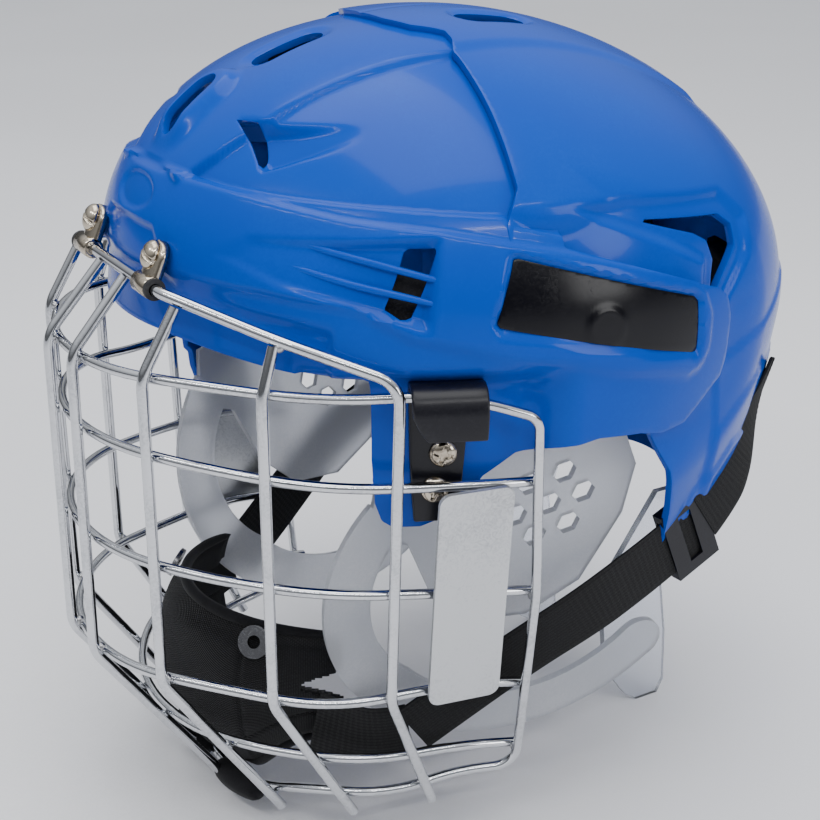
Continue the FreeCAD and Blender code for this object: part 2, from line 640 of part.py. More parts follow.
# ---------------------------------------------------------------- brow clips, sleeves, screws
for side, sign in SIDES:
    x = sign * size("sleeve_centre")
    half = size("sleeve_length") / 2
    sleeve = cylinder("Sleeve_" + side, "Sizes.sleeve_radius", size("sleeve_length"),
                      Vec(x - half, HINGE.y, HINGE.z), Vec(1, 0, 0))
    bore = cylinder("SleeveBore_" + side, "Sizes.bar_radius + Sizes.hinge_clearance",
                    size("sleeve_length") + 2, Vec(x - half - 1, HINGE.y, HINGE.z), Vec(1, 0, 0))
    front_y = HINGE.y + STRAP_SET
    strap = doc.addObject("Part::Box", "ClipStrap_" + side)
    strap.Length = size("sleeve_length")
    strap.Width = STRAP_THICK
    strap.Height = STRAP_TALL
    strap.Placement = FreeCAD.Placement(Vec(x - half, front_y, HINGE.z + STRAP_LIFT),
                                        FreeCAD.Rotation(Vec(1, 0, 0), -math.degrees(BROW_LEAN)))
    clip = fuse("ClipBody_" + side, [sleeve, strap])
    mark = brow_mark(sign)
    hole = cylinder("ClipBore_" + side, "Sizes.screw_shank + 0.2", 8, mark - BROW_THROUGH * 3,
                    BROW_THROUGH)
    keep(boolean("Cut", "BrowClip_" + side, clip, fuse("ClipBores_" + side, [bore, hole])),
         "brow_clip_" + side)
    shank = cylinder("BrowShank_" + side, "Sizes.screw_shank", 8.0, mark - BROW_THROUGH * 0.1,
                     BROW_THROUGH)
    head = doc.addObject("Part::Cone", "BrowHead_" + side)
    head.setExpression("Radius1", "Sizes.screw_head")
    head.setExpression("Radius2", "Sizes.screw_head * 0.55")
    head.Height = 2.8
    head.Placement = FreeCAD.Placement(mark - BROW_THROUGH * 0.05,
                                       FreeCAD.Rotation(Vec(0, 0, 1), BROW_THROUGH * -1))
    keep(fuse("BrowScrew_" + side, [shank, head]), "brow_screw_" + side)
    out_x = x + sign * (half + 0.15)
    rubber = cylinder("GrommetRound_" + side, "Sizes.sleeve_radius - 0.1", 1.6,
                      Vec(out_x, HINGE.y, HINGE.z), Vec(sign, 0, 0))
    eye = cylinder("GrommetEye_" + side, "Sizes.bar_radius + Sizes.hinge_clearance * 3", 1.6,
                   Vec(out_x, HINGE.y, HINGE.z), Vec(sign, 0, 0))
    ring = boolean("Cut", "Grommet_" + side, rubber, eye)
    keep(ring, "grommet_" + side)

# ---------------------------------------------------------------- chin cup and its snaps
CUP_CENTRE = Vec(0, -48, 54)
CUP_SIZE = Vec(58, 63, 56)
CUP_TILT = 0
CUP_WALL = 5.0


def cup_egg(name, shrink):
    """The chin cup's egg, shrunk on every side."""
    egg = doc.addObject("Part::Ellipsoid", name)
    egg.Radius2 = CUP_SIZE.x - shrink
    egg.Radius3 = CUP_SIZE.y - shrink
    egg.Radius1 = CUP_SIZE.z - shrink
    egg.Angle1 = -90
    egg.Angle2 = 90
    egg.Placement = FreeCAD.Placement(CUP_CENTRE, FreeCAD.Rotation(Vec(1, 0, 0), CUP_TILT))
    return egg


cup_skin = boolean("Cut", "CupSkin", cup_egg("CupOuter", 0), cup_egg("CupInner", CUP_WALL))
cup = boolean("Common", "ChinCup", cup_skin,
              outline_prism("CupOutline", [(-120, 12), (-120, 86), (-62, 86), (-56, 70), (-58, 38),
                                           (-72, 16), (-84, 12)]))
keep(cup, "chin_cup")
snap_shapes = []
SNAP_TURN = math.radians(42)
SNAP_RISE = math.radians(25)
cup_turn = FreeCAD.Rotation(Vec(1, 0, 0), CUP_TILT)
for side, sign in SIDES:
    ray = Vec(sign * math.sin(SNAP_TURN) * math.cos(SNAP_RISE),
              -math.cos(SNAP_TURN) * math.cos(SNAP_RISE), math.sin(SNAP_RISE))
    spot = Vec(ray.x * CUP_SIZE.x, ray.y * CUP_SIZE.y, ray.z * CUP_SIZE.z)
    normal = Vec(ray.x / CUP_SIZE.x, ray.y / CUP_SIZE.y, ray.z / CUP_SIZE.z).normalize()
    spot = CUP_CENTRE + cup_turn.multVec(spot)
    normal = cup_turn.multVec(normal)
    ring = Part.makeCylinder(6.0, 1.6, spot + normal * 0.4, normal)
    snap_shapes.append(ring.cut(Part.makeCylinder(2.4, 1.6, spot + normal * 0.4, normal)))
keep(feature("ChinSnaps", Part.makeCompound(snap_shapes)), "chin_snaps")

# ---------------------------------------------------------------- webbing
CHEEK_PATH = [Vec(54, -76, 50), Vec(70, -64, 48), Vec(75.6, -50, 50)]
NECK_PATH = [Vec(77, -47, 51), Vec(88, -12, 76), Vec(97.4, 12, 92), Vec(98.4, 28, 100.2),
             Vec(95.9, 80, 121.8), Vec(82, 102, 137), Vec(70, 118, 155)]


NAPE_Y = 90.0


def webbing(path):
    """A flat strap through the path's points, one straight-sided run between each pair.

    It faces sideways along the helmet and turns to lie on the shell past NAPE_Y.
    """
    sections = []
    for index, point in enumerate(path):
        before = path[max(index - 1, 0)]
        after = path[min(index + 1, len(path) - 1)]
        along = (after - before).normalize()
        facing = Vec(1, 0, 0) if point.y < NAPE_Y else Vec(point.x, point.y, 0).normalize()
        outward = facing - along * along.dot(facing)
        outward = outward.normalize()
        width = along.cross(outward).normalize()
        half = width * (size("webbing_width") / 2)
        skin_half = outward * (size("webbing_skin") / 2)
        ring = [point + half + skin_half, point - half + skin_half, point - half - skin_half,
                point + half - skin_half]
        sections.append(Part.makePolygon(ring + ring[:1]))
    return Part.makeLoft(sections, True, True)


for label, path in (("cheek_strap", CHEEK_PATH), ("neck_strap", NECK_PATH)):
    for side, sign in SIDES:
        shape = webbing(path)
        if sign < 0:
            shape = shape.mirror(Vec(0, 0, 0), Vec(1, 0, 0))
        keep(feature(label.title().replace("_", "") + side, shape), "%s_%s" % (label, side))

# Slide adjusters ride on the straight run of the neck straps.
run_start, run_end = NECK_PATH[3], NECK_PATH[4]
run_along = (run_end - run_start).normalize()
run_out = (Vec(1, 0, 0) - run_along * run_along.x).normalize()
run_wide = run_out.cross(run_along).normalize()


def run_block(middle, length, width, thick):
    """A block centred on the strap's straight run."""
    corner = middle - run_along * (length / 2) - run_wide * (width / 2) - run_out * (thick / 2)
    box = Part.makeBox(length, width, thick)
    turn = FreeCAD.Rotation(run_along, run_wide, run_out, "XYZ")
    box.Placement = FreeCAD.Placement(corner, turn)
    return box


ADJUST_LENGTH = 20.0
middle = (run_start + run_end) * 0.5
frame = run_block(middle, ADJUST_LENGTH, size("webbing_width") + 7, 4.6)
tunnel = run_block(middle, ADJUST_LENGTH + 2, size("webbing_width") + 1, 2.4)
window = run_block(middle + run_out * 2, 6, size("webbing_width") - 2, 4.0)
adjuster = frame.cut([tunnel, window])
for side, sign in SIDES:
    shape = adjuster if sign > 0 else adjuster.mirror(Vec(0, 0, 0), Vec(1, 0, 0))
    keep(feature("Adjuster_" + side, shape), "strap_adjuster_" + side)
print("strap run direction", run_along)

# ---------------------------------------------------------------- check and export
doc.recompute()
for obj in doc.Objects:
    if "Invalid" in obj.State or "Error" in obj.State:
        raise RuntimeError("failed object: %s %s" % (obj.Name, obj.State))
os.makedirs("parts", exist_ok=True)
for obj in nodes:
    shape = obj.Shape
    if shape.isNull() or not shape.isValid() or not shape.Solids:
        raise RuntimeError("bad shape: " + obj.Label)
    shape.exportStep("parts/%s.step" % obj.Label)
    box = shape.BoundBox
    print("%-20s solids %d volume %9.1f  x %.1f..%.1f y %.1f..%.1f z %.1f..%.1f" % (
        obj.Label, len(shape.Solids), shape.Volume, box.XMin, box.XMax, box.YMin, box.YMax,
        box.ZMin, box.ZMax))
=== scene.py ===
# %% [markdown]
# # An ice hockey helmet with its wire cage
# The helmet is two glossy blue shells that slide over each other, foam inside them, a welded
# wire cage that swings up on two brow clips, frosted ear guards, a fabric chin cup and black
# webbing. The measured frame already holds every piece at its place, so this lesson smooths the
# wires, plates and guards, and models the shells, pads, cup, straps, hooks and clips again with
# the detail that a hand would notice.

# %% load the frame
import bpy
import bmesh
import math
import numpy as np
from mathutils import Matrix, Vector


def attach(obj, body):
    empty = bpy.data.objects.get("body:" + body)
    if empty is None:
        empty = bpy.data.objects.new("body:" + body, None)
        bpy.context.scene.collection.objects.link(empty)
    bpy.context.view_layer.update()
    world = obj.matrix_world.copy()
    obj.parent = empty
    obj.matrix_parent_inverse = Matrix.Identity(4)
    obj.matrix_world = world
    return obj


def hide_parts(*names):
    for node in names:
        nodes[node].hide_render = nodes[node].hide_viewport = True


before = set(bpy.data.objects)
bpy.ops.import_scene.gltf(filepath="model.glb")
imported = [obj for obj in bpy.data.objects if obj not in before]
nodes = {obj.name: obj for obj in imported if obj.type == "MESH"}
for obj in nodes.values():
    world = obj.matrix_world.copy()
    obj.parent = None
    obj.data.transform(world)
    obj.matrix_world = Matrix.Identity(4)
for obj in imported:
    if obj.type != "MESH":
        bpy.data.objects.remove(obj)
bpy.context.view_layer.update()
MM = 0.001
SIDES = (("left", 1.0), ("right", -1.0))
scene = bpy.context.scene
print("frame nodes:", len(nodes))

# %% [markdown]
# ## Finishes
# Every finish is a Principled BSDF in its own material. What several finishes share is a node
# group: `Wear` puts out a mask of faint scuffs and dust, and `Grain` a fine height for bump.
# A group puts out masks and heights only, so the finished materials export cleanly.


# %% node helpers
def new_group(name, inputs, outputs):
    """An empty shader group with float inputs (name: default) and float outputs."""
    group = bpy.data.node_groups.new(name, "ShaderNodeTree")
    for label, value in inputs.items():
        socket = group.interface.new_socket(label, in_out="INPUT", socket_type="NodeSocketFloat")
        socket.default_value = value
    for label in outputs:
        group.interface.new_socket(label, in_out="OUTPUT", socket_type="NodeSocketFloat")
    return group, group.nodes.new("NodeGroupInput"), group.nodes.new("NodeGroupOutput")


def wear_group():
    """Faint clouds of handling marks: scuffs where two noises of different size agree."""
    group, given, result = new_group("Wear", {"Patch Scale": 30.0, "Scratch Scale": 400.0}, ["Mask"])
    place = group.nodes.new("ShaderNodeTexCoord")
    patch, scratch = (group.nodes.new("ShaderNodeTexNoise") for _ in range(2))
    scratch.inputs["Distortion"].default_value = 2.5
    both = group.nodes.new("ShaderNodeMath")
    both.operation = "MULTIPLY"
    ramp = group.nodes.new("ShaderNodeMapRange")
    ramp.inputs["From Min"].default_value = 0.22
    ramp.inputs["From Max"].default_value = 0.42
    link = group.links.new
    link(place.outputs["Object"], patch.inputs["Vector"])
    link(place.outputs["Object"], scratch.inputs["Vector"])
    link(given.outputs["Patch Scale"], patch.inputs["Scale"])
    link(given.outputs["Scratch Scale"], scratch.inputs["Scale"])
    link(patch.outputs["Fac"], both.inputs[0])
    link(scratch.outputs["Fac"], both.inputs[1])
    link(both.outputs[0], ramp.inputs["Value"])
    link(ramp.outputs["Result"], result.inputs["Mask"])
    return group


def grain_group():
    """A fine moulded or powdery height."""
    group, given, result = new_group("Grain", {"Scale": 2500.0}, ["Height"])
    place = group.nodes.new("ShaderNodeTexCoord")
    noise = group.nodes.new("ShaderNodeTexNoise")
    noise.inputs["Detail"].default_value = 3.0
    group.links.new(place.outputs["Object"], noise.inputs["Vector"])
    group.links.new(given.outputs["Scale"], noise.inputs["Scale"])
    group.links.new(noise.outputs["Fac"], result.inputs["Height"])
    return group


WEAR = wear_group()
GRAIN = grain_group()
print("groups:", WEAR.name, GRAIN.name)


# %% one function for the finishes
def finish(name, color, worn, rough, worn_rough, grain, bump, wear_scale=30.0, **constants):
    """A Principled finish whose colour and roughness drift with the wear mask."""
    material = bpy.data.materials.new(name)
    material.use_nodes = True
    tree = material.node_tree
    shader = tree.nodes["Principled BSDF"]
    for socket, value in constants.items():
        shader.inputs[socket.replace("_", " ")].default_value = value
    wear = tree.nodes.new("ShaderNodeGroup")
    wear.node_tree = WEAR
    wear.inputs["Patch Scale"].default_value = wear_scale
    tint = tree.nodes.new("ShaderNodeMix")
    tint.data_type = "RGBA"
    tint.inputs["A"].default_value = (*color, 1.0)
    tint.inputs["B"].default_value = (*worn, 1.0)
    gloss = tree.nodes.new("ShaderNodeMapRange")
    gloss.inputs["To Min"].default_value = rough
    gloss.inputs["To Max"].default_value = worn_rough
    height = tree.nodes.new("ShaderNodeGroup")
    height.node_tree = GRAIN
    height.inputs["Scale"].default_value = grain
    relief = tree.nodes.new("ShaderNodeBump")
    relief.inputs["Strength"].default_value = bump
    relief.inputs["Distance"].default_value = 0.0002
    link = tree.links.new
    link(wear.outputs["Mask"], tint.inputs["Factor"])
    link(tint.outputs["Result"], shader.inputs["Base Color"])
    link(wear.outputs["Mask"], gloss.inputs["Value"])
    link(gloss.outputs["Result"], shader.inputs["Roughness"])
    link(height.outputs["Height"], relief.inputs["Height"])
    link(relief.outputs["Normal"], shader.inputs["Normal"])
    return material


def woven(name, color, light, along, across):
    """Webbing or knit: ribs from the piece's own UV map, in threads per UV unit."""
    material = finish(name, color, light, 0.78, 0.9, 1800.0, 0.5, Specular_IOR_Level=0.15,
                      Sheen_Weight=0.08, Sheen_Roughness=0.5)
    tree = material.node_tree
    place = tree.nodes.new("ShaderNodeUVMap")
    place.uv_map = "Weave"
    split = tree.nodes.new("ShaderNodeSeparateXYZ")
    tree.links.new(place.outputs["UV"], split.inputs["Vector"])
    waves = []
    for axis, count in (("X", across), ("Y", along)):
        turn = tree.nodes.new("ShaderNodeMath")
        turn.operation = "MULTIPLY"
        turn.inputs[1].default_value = count * math.tau
        wave = tree.nodes.new("ShaderNodeMath")
        wave.operation = "SINE"
        tree.links.new(split.outputs[axis], turn.inputs[0])
        tree.links.new(turn.outputs[0], wave.inputs[0])
        waves.append(wave)
    both = tree.nodes.new("ShaderNodeMath")
    both.operation = "MULTIPLY"
    tree.links.new(waves[0].outputs[0], both.inputs[0])
    tree.links.new(waves[1].outputs[0], both.inputs[1])
    thread = tree.nodes.new("ShaderNodeBump")
    thread.inputs["Strength"].default_value = 0.8
    thread.inputs["Distance"].default_value = 0.0005
    shader = tree.nodes["Principled BSDF"]
    old = shader.inputs["Normal"].links[0].from_node
    tree.links.new(both.outputs[0], thread.inputs["Height"])
    tree.links.new(old.outputs["Normal"], thread.inputs["Normal"])
    tree.links.new(thread.outputs["Normal"], shader.inputs["Normal"])
    return material


# %% the finishes themselves
BLUE = finish("glossy_blue_shell", (0.0, 0.054, 0.40), (0.0, 0.060, 0.42), 0.2, 0.26, 900.0, 0.015,
              Coat_Weight=0.1, Coat_Roughness=0.06, Specular_IOR_Level=0.1)
INSET = finish("satin_black_inset", (0.002, 0.002, 0.004), (0.005, 0.005, 0.007), 0.2, 0.3, 1500.0, 0.04,
               Specular_IOR_Level=0.22)
CHROME = finish("bright_wire_plating", (0.60, 0.61, 0.63), (0.46, 0.47, 0.49), 0.08, 0.18, 700.0, 0.03,
                60.0, Metallic=1.0)
WELD = finish("grey_weld_bead", (0.42, 0.42, 0.43), (0.2, 0.2, 0.2), 0.3, 0.5, 900.0, 0.5, Metallic=1.0)
ZINC = finish("dull_zinc_sheet", (0.58, 0.59, 0.60), (0.46, 0.47, 0.49), 0.42, 0.6, 500.0, 0.25, 24.0,
              Metallic=0.85)
NICKEL = finish("warm_nickel_plating", (0.50, 0.44, 0.35), (0.30, 0.25, 0.19), 0.14, 0.28, 700.0, 0.06,
                120.0, Metallic=1.0)
RING = finish("dark_snap_plating", (0.16, 0.16, 0.17), (0.3, 0.3, 0.31), 0.2, 0.34, 700.0, 0.06,
              Metallic=1.0)
RUBBER = finish("black_rubber", (0.01, 0.01, 0.011), (0.03, 0.03, 0.03), 0.6, 0.75, 1200.0, 0.3)
HOOK = finish("moulded_black_hook", (0.004, 0.004, 0.007), (0.01, 0.01, 0.014), 0.3, 0.42, 1600.0, 0.1,
              Specular_IOR_Level=0.3)
FROST = finish("frosted_clear_plastic", (0.66, 0.68, 0.72), (0.74, 0.75, 0.78), 0.4, 0.5, 1400.0, 0.06,
               Transmission_Weight=0.68, IOR=1.4)
CLEAR = finish("clear_plastic_tab", (0.86, 0.89, 0.96), (0.9, 0.92, 0.97), 0.08, 0.14, 900.0, 0.02,
               Transmission_Weight=0.92, IOR=1.49)
FOAM = finish("black_foam", (0.011, 0.011, 0.013), (0.03, 0.03, 0.033), 0.85, 0.95, 1700.0, 0.9,
              Specular_IOR_Level=0.2)
WEBBING = woven("ribbed_black_webbing", (0.004, 0.004, 0.005), (0.01, 0.01, 0.012), 380.0, 9.0)
KNIT = woven("black_knit_cover", (0.004, 0.004, 0.005), (0.01, 0.01, 0.012), 90.0, 90.0)
print("finishes:", len(bpy.data.materials))


# %% [markdown]
# ## The dome
# Both shells follow one dome: a tilted egg, low above its widest line and tall below it. A dome
# made from a subdivided cube has no pole and even squares, so creases run over it cleanly.
# All of the outlines below are in millimetres: (y, z) seen from the side, (x, y) from above
# and (x, z) from the front.

# %% dome sizes and its grid
HALF_WIDTH, HALF_LENGTH, RISE, DROP = 114.3, 130.5, 90.1, 206.8
DOME_CENTRE = np.array([0.0, 12.1, 197.9])
TILT = math.radians(10.0)
BACK = np.array([0.0, math.cos(TILT), -math.sin(TILT)])
UP = np.array([0.0, math.sin(TILT), math.cos(TILT)])


def cube_grid(steps):
    """Unit directions and quads of a cube cut into steps by steps on each face."""
    mesh = bmesh.new()
    bmesh.ops.create_cube(mesh, size=2.0)
    bmesh.ops.subdivide_edges(mesh, edges=mesh.edges[:], cuts=steps - 1, use_grid_fill=True)
    points = np.array([v.co[:] for v in mesh.verts])
    quads = np.array([[v.index for v in f.verts] for f in mesh.faces])
    mesh.free()
    points = np.tan(points * math.pi / 4)
    return points / np.linalg.norm(points, axis=1, keepdims=True), quads


def on_dome(directions):
    """Points of the dome, and its outward normals, in the unit directions given."""
    tall = np.where(directions[:, 2] > 0, RISE, DROP)
    local = directions * np.stack([np.full_like(tall, HALF_WIDTH), np.full_like(tall, HALF_LENGTH), tall], 1)
    slope = local / np.stack([np.full_like(tall, HALF_WIDTH), np.full_like(tall, HALF_LENGTH), tall], 1) ** 2
    slope /= np.linalg.norm(slope, axis=1, keepdims=True)
    basis = np.stack([np.array([1.0, 0.0, 0.0]), BACK, UP])
    return DOME_CENTRE + local @ basis, slope @ basis


def to_direction(points):
    """The dome directions nearest to points that lie close to the dome."""
    basis = np.stack([np.array([1.0, 0.0, 0.0]), BACK, UP])
    local = (points - DOME_CENTRE) @ basis.T
    tall = np.where(local[:, 2] > 0, RISE, DROP)
    unit = local / np.stack([np.full_like(tall, HALF_WIDTH), np.full_like(tall, HALF_LENGTH), tall], 1)
    return unit / np.linalg.norm(unit, axis=1, keepdims=True)


GRID = cube_grid(148)
print("dome grid quads:", len(GRID[1]))


# %% flat geometry: distances to outlines
def outline_distance(points, outline):
    """Signed distance to a closed outline, negative inside, for an array of 2D points."""
    corners = np.array(outline, float)
    after = np.roll(corners, -1, axis=0)
    best = np.full(len(points), 1e9)
    inside = np.zeros(len(points), bool)
    for start, end in zip(corners, after):
        run = end - start
        share = np.clip(((points - start) @ run) / (run @ run), 0, 1)
        best = np.minimum(best, np.linalg.norm(points - start - share[:, None] * run, axis=1))
        crosses = (start[1] > points[:, 1]) != (end[1] > points[:, 1])
        level = start[0] + (points[:, 1] - start[1]) * run[0] / (run[1] if run[1] else 1e-9)
        inside ^= crosses & (points[:, 0] < level)
    return np.where(inside, -best, best)


def line_distance(points, line):
    """Distance to an open line through its points."""
    best = np.full(len(points), 1e9)
    for start, end in zip(np.array(line[:-1], float), np.array(line[1:], float)):
        run = end - start
        share = np.clip(((points - start) @ run) / (run @ run), 0, 1)
        best = np.minimum(best, np.linalg.norm(points - start - share[:, None] * run, axis=1))
    return best


def ease(value, low, high):
    """Smooth step from 0 at low to 1 at high."""
    share = np.clip((value - low) / (high - low), 0, 1)
    return share * share * (3 - 2 * share)


def views(points):
    """The side view (y, z), top view (|x|, y) and front view (|x|, z) of the points."""
    across = np.abs(points[:, 0])
    return (points[:, 1:3], np.stack([across, points[:, 1]], 1), np.stack([across, points[:, 2]], 1))


# %% [markdown]
# ## A skin cut from the dome
# A skin keeps the squares where `keep` is negative, pulls its edge onto the exact outline, and
# then lifts each point along the normal by the relief. Solidify gives it a moulded wall, and a
# small bevel rounds the cut edges. The pull makes clean outlines without any boolean.


# %% the skin builder
def edge_pull(directions, keep, chosen):
    """Moves the chosen grid points along the dome until keep is zero there."""
    nudge = 0.3
    for _ in range(5):
        points, normals = on_dome(directions[chosen])
        aside = np.cross(normals, np.array([0.31, 0.62, 0.72]))
        aside /= np.linalg.norm(aside, axis=1, keepdims=True)
        other = np.cross(normals, aside)
        here = keep(points)
        slope_a = (keep(points + aside * nudge) - here) / nudge
        slope_b = (keep(points + other * nudge) - here) / nudge
        steep = np.maximum(slope_a ** 2 + slope_b ** 2, 0.25)
        step = np.clip(here / steep, -3, 3)[:, None] * (aside * slope_a[:, None] + other * slope_b[:, None])
        directions[chosen] = to_direction(points - step)


def domed_skin(name, keep, relief, wall, material, sides=2, bevel=0.7):
    """A closed skin on the dome. sides 2 keeps both halves, 1 the left and -1 the right."""
    directions, quads = GRID[0].copy(), GRID[1]
    points, _ = on_dome(directions)
    level = keep(points)
    if sides != 2:
        level = np.maximum(level, 1.0 - sides * points[:, 0])
    shown = quads[level[quads].mean(axis=1) < 0]
    used = np.zeros(len(points), bool)
    used[shown.ravel()] = True
    counts = np.bincount(quads.ravel(), minlength=len(points))
    kept = np.bincount(shown.ravel(), minlength=len(points))
    rim = np.where(used & (kept < counts))[0]
    edge_pull(directions, keep, rim)
    number = -np.ones(len(points), int)
    number[used] = np.arange(used.sum())
    base, normals = on_dome(directions[used])
    lifted = (base + normals * relief(base)[:, None]) * MM
    mesh = bpy.data.meshes.new(name)
    mesh.from_pydata(lifted.tolist(), [], number[shown].tolist())
    mesh.validate()
    mesh.materials.append(material)
    piece = bpy.data.objects.new(name, mesh)
    scene.collection.objects.link(piece)
    tidy_mesh(piece)
    solid = piece.modifiers.new("wall", "SOLIDIFY")
    solid.thickness = wall * MM
    solid.offset = -1.0
    solid.use_rim = True
    if bevel:
        soft = piece.modifiers.new("edge", "BEVEL")
        soft.width = bevel * MM
        soft.segments = 2
        soft.angle_limit = math.radians(55)
        soft.harden_normals = False
    settle(piece)
    print(name, "faces", len(piece.data.polygons))
    return piece


def tidy_mesh(piece):
    """Merges doubles, drops slivers and shades the mesh smooth."""
    mesh = bmesh.new()
    mesh.from_mesh(piece.data)
    bmesh.ops.remove_doubles(mesh, verts=mesh.verts, dist=0.05 * MM)
    bmesh.ops.dissolve_degenerate(mesh, edges=mesh.edges, dist=0.02 * MM)
    for face in mesh.faces:
        face.smooth = True
    mesh.to_mesh(piece.data)
    mesh.free()


def settle(piece):
    """Replaces a piece's mesh by what its modifiers make of it."""
    bpy.context.view_layer.update()
    seen = piece.evaluated_get(bpy.context.evaluated_depsgraph_get())
    mesh = bpy.data.meshes.new_from_object(seen)
    old = piece.data
    piece.modifiers.clear()
    piece.data = mesh
    bpy.data.meshes.remove(old)
    mesh.name = piece.name


# %% [markdown]
# ## The front shell
# The front shell carries most of the character: a raised brow band that runs back as a wing on
# each side, a bevelled shelf along the band's top, a raised strip over the crown, a scooped air
# inlet with two louvre fins, and an inset field round the two brow clips. Each of these is one
# term of the relief, so it can be tuned alone.

# %% the front shell's outlines
FRONT_OUTLINE = [
    (-135, 197), (-117, 197), (-97, 192.5), (-82, 190), (-73, 190), (-72.5, 160), (-71, 142), (-68.5, 135),
    (-65, 132.5), (-56, 132.5), (-46, 137), (-37, 152), (-26, 159.5), (-10, 163.5), (0, 165), (18, 163),
    (28, 160.5), (39, 161.5), (46, 166.5), (52, 171), (57, 174), (59, 180), (59, 196), (57, 203), (52, 207),
    (43, 210), (1, 225), (-12, 229.5), (-12, 262), (-4, 280), (-4, 300), (-135, 300)]
WING = [
    (-12, 229.5), (1, 225), (43, 210), (52, 207), (57, 203), (59, 196), (59, 180), (57, 174), (46, 166.5),
    (28, 160.5), (-12, 160)]
BAND_TOP = [
    (-140, 246), (-104.7, 247), (-97.5, 245.4), (-87.9, 244.4), (-60.6, 242.4), (-29.3, 239.5),
    (-27.5, 236.9), (12.8, 226.4), (41, 216.3), (75, 205), (75, 150), (-140, 150)]
BAND_LOW = [
    (-110, 216), (-97.4, 216.8), (-75.4, 213.5), (-60, 204), (-24.3, 194.7), (16.4, 184.7), (37.3, 180.3),
    (43.3, 182.3), (46.4, 188), (46.4, 200), (43.5, 207), (39, 212.4), (31.9, 215.3), (-14.2, 228.9),
    (-47.7, 236), (-72.6, 239.4), (-97.6, 245), (-104, 246), (-140, 246), (-140, 216)]
CROWN_EDGE = [
    (0, -104), (22, -103.5), (28.8, -94.5), (34.8, -82.3), (38.3, -61.1), (40.4, -43.3), (41.8, -27.9),
    (44, -10), (44, 60), (40, 90), (0, 100)]
CLIP_FIELD = [
    (-1, 230.5), (18, 229.5), (23, 224), (26, 217), (31, 213.5), (45, 211), (62, 209), (80, 206),
    (80, 180), (-1, 180)]
AIR_SCOOP = [(-104, 226), (-96, 233), (-80, 233.5), (-49.5, 234.5), (-55.5, 207), (-66, 210), (-92, 218.5)]
AIR_VENT = [
    (-60.1, 231), (-58.5, 232), (-51.5, 232), (-51.2, 231), (-60.5, 211), (-63, 210.2), (-67.6, 213.5)]
SLIT_SCOOP = [(-84.6, 263.4), (-50, 266.5), (-60, 261.5), (-78, 255.5), (-88, 251.5)]
SLIT_VENT = [(-85, 263.4), (-81.2, 263.6), (-84.4, 257.5), (-88, 251.5)]
PANEL_OUTLINE = [
    (-30.5, 228.5), (-28.5, 229.2), (38, 208.5), (40.6, 206), (41.2, 188.4), (39, 186.2), (-36.6, 206),
    (-38, 208.6)]


def crown_vent(points, y_from, y_to, radius, across=0.0):
    """Distance to a round-ended slot of the crown, across from its centre line, in the top view."""
    return line_distance(views(points)[1], [(across, y_from), (across, y_to)]) - radius


def front_keep(points):
    """Negative where the front shell is."""
    side = views(points)[0]
    level = outline_distance(side, FRONT_OUTLINE)
    for vent in (AIR_VENT, SLIT_VENT):
        level = np.maximum(level, -outline_distance(side, vent))
    level = np.maximum(level, -crown_vent(points, -62, -46, 5.2))
    return np.maximum(level, -crown_vent(points, -94, -84, 5.0))


def front_relief(points):
    """How far the front shell stands off the dome."""
    side, top, front = views(points)
    level = np.full(len(points), -2.6)
    crown = outline_distance(top, CROWN_EDGE)
    slope_width = np.interp(side[:, 0], [-100, -60, 0], [1.4, 2.2, 3.2])
    level += 2.3 * (1 - ease(crown, 0, slope_width)) * (side[:, 1] > 236)
    level += 1.8 * (1 - ease(outline_distance(side, BAND_TOP), 0, 1.3))
    in_band = 1 - ease(outline_distance(side, BAND_LOW), -1.2, 1.2)
    level += 1.8 * in_band
    level -= 1.5 * (1 - ease(outline_distance(front, CLIP_FIELD), -0.7, 0.7)) * (side[:, 0] < -60)
    oval = np.sqrt((front[:, 0] / 12.8) ** 2 + ((front[:, 1] - 238.0) / 5.6) ** 2)
    level -= 0.9 * (1 - ease(oval, 0.9, 1.08)) * (side[:, 0] < 0)
    deeper = ease(side[:, 0], -106, -56)
    level -= (0.3 + 3.2 * deeper) * (1 - ease(outline_distance(side, AIR_SCOOP), -3.0, 0.6))
    toward_slit = (1 - ease(side[:, 0], -84, -54)) * ease(side[:, 0], -92, -86)
    level -= 4.2 * toward_slit * (1 - ease(outline_distance(side, SLIT_SCOOP), -1.5, 0.4))
    level -= 9.4 * (1 - ease(side[:, 1], 184, 195)) * (1 - ease(side[:, 0], -26, -6)) * (side[:, 0] > -90)
    level -= 2.0 * (1 - ease(outline_distance(side, PANEL_OUTLINE), -1.0, 0.3))
    scoop = line_distance(top, [(0, -94), (0, -84)])
    level += 3.6 * (1 - ease(scoop, 7.0, 12.5)) * ease(side[:, 0], -104, -92)
    rear_scoop = line_distance(top, [(0, -62), (0, -46)])
    level -= 1.4 * (1 - ease(rear_scoop, 5.0, 9.5))
    return level


front_shell = domed_skin("front_shell_skin", front_keep, front_relief, 2.6, BLUE)
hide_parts("front_shell")
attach(front_shell, "helmet")

# %% [markdown]
# ## The rear shell
# The rear shell lies over the front shell at the crown, with a tab in the middle, and dives
# under the wings at the sides, where it slides when the helmet is sized. A dark V-shaped vent
# and stepped ribs at the nape break up the large surface.

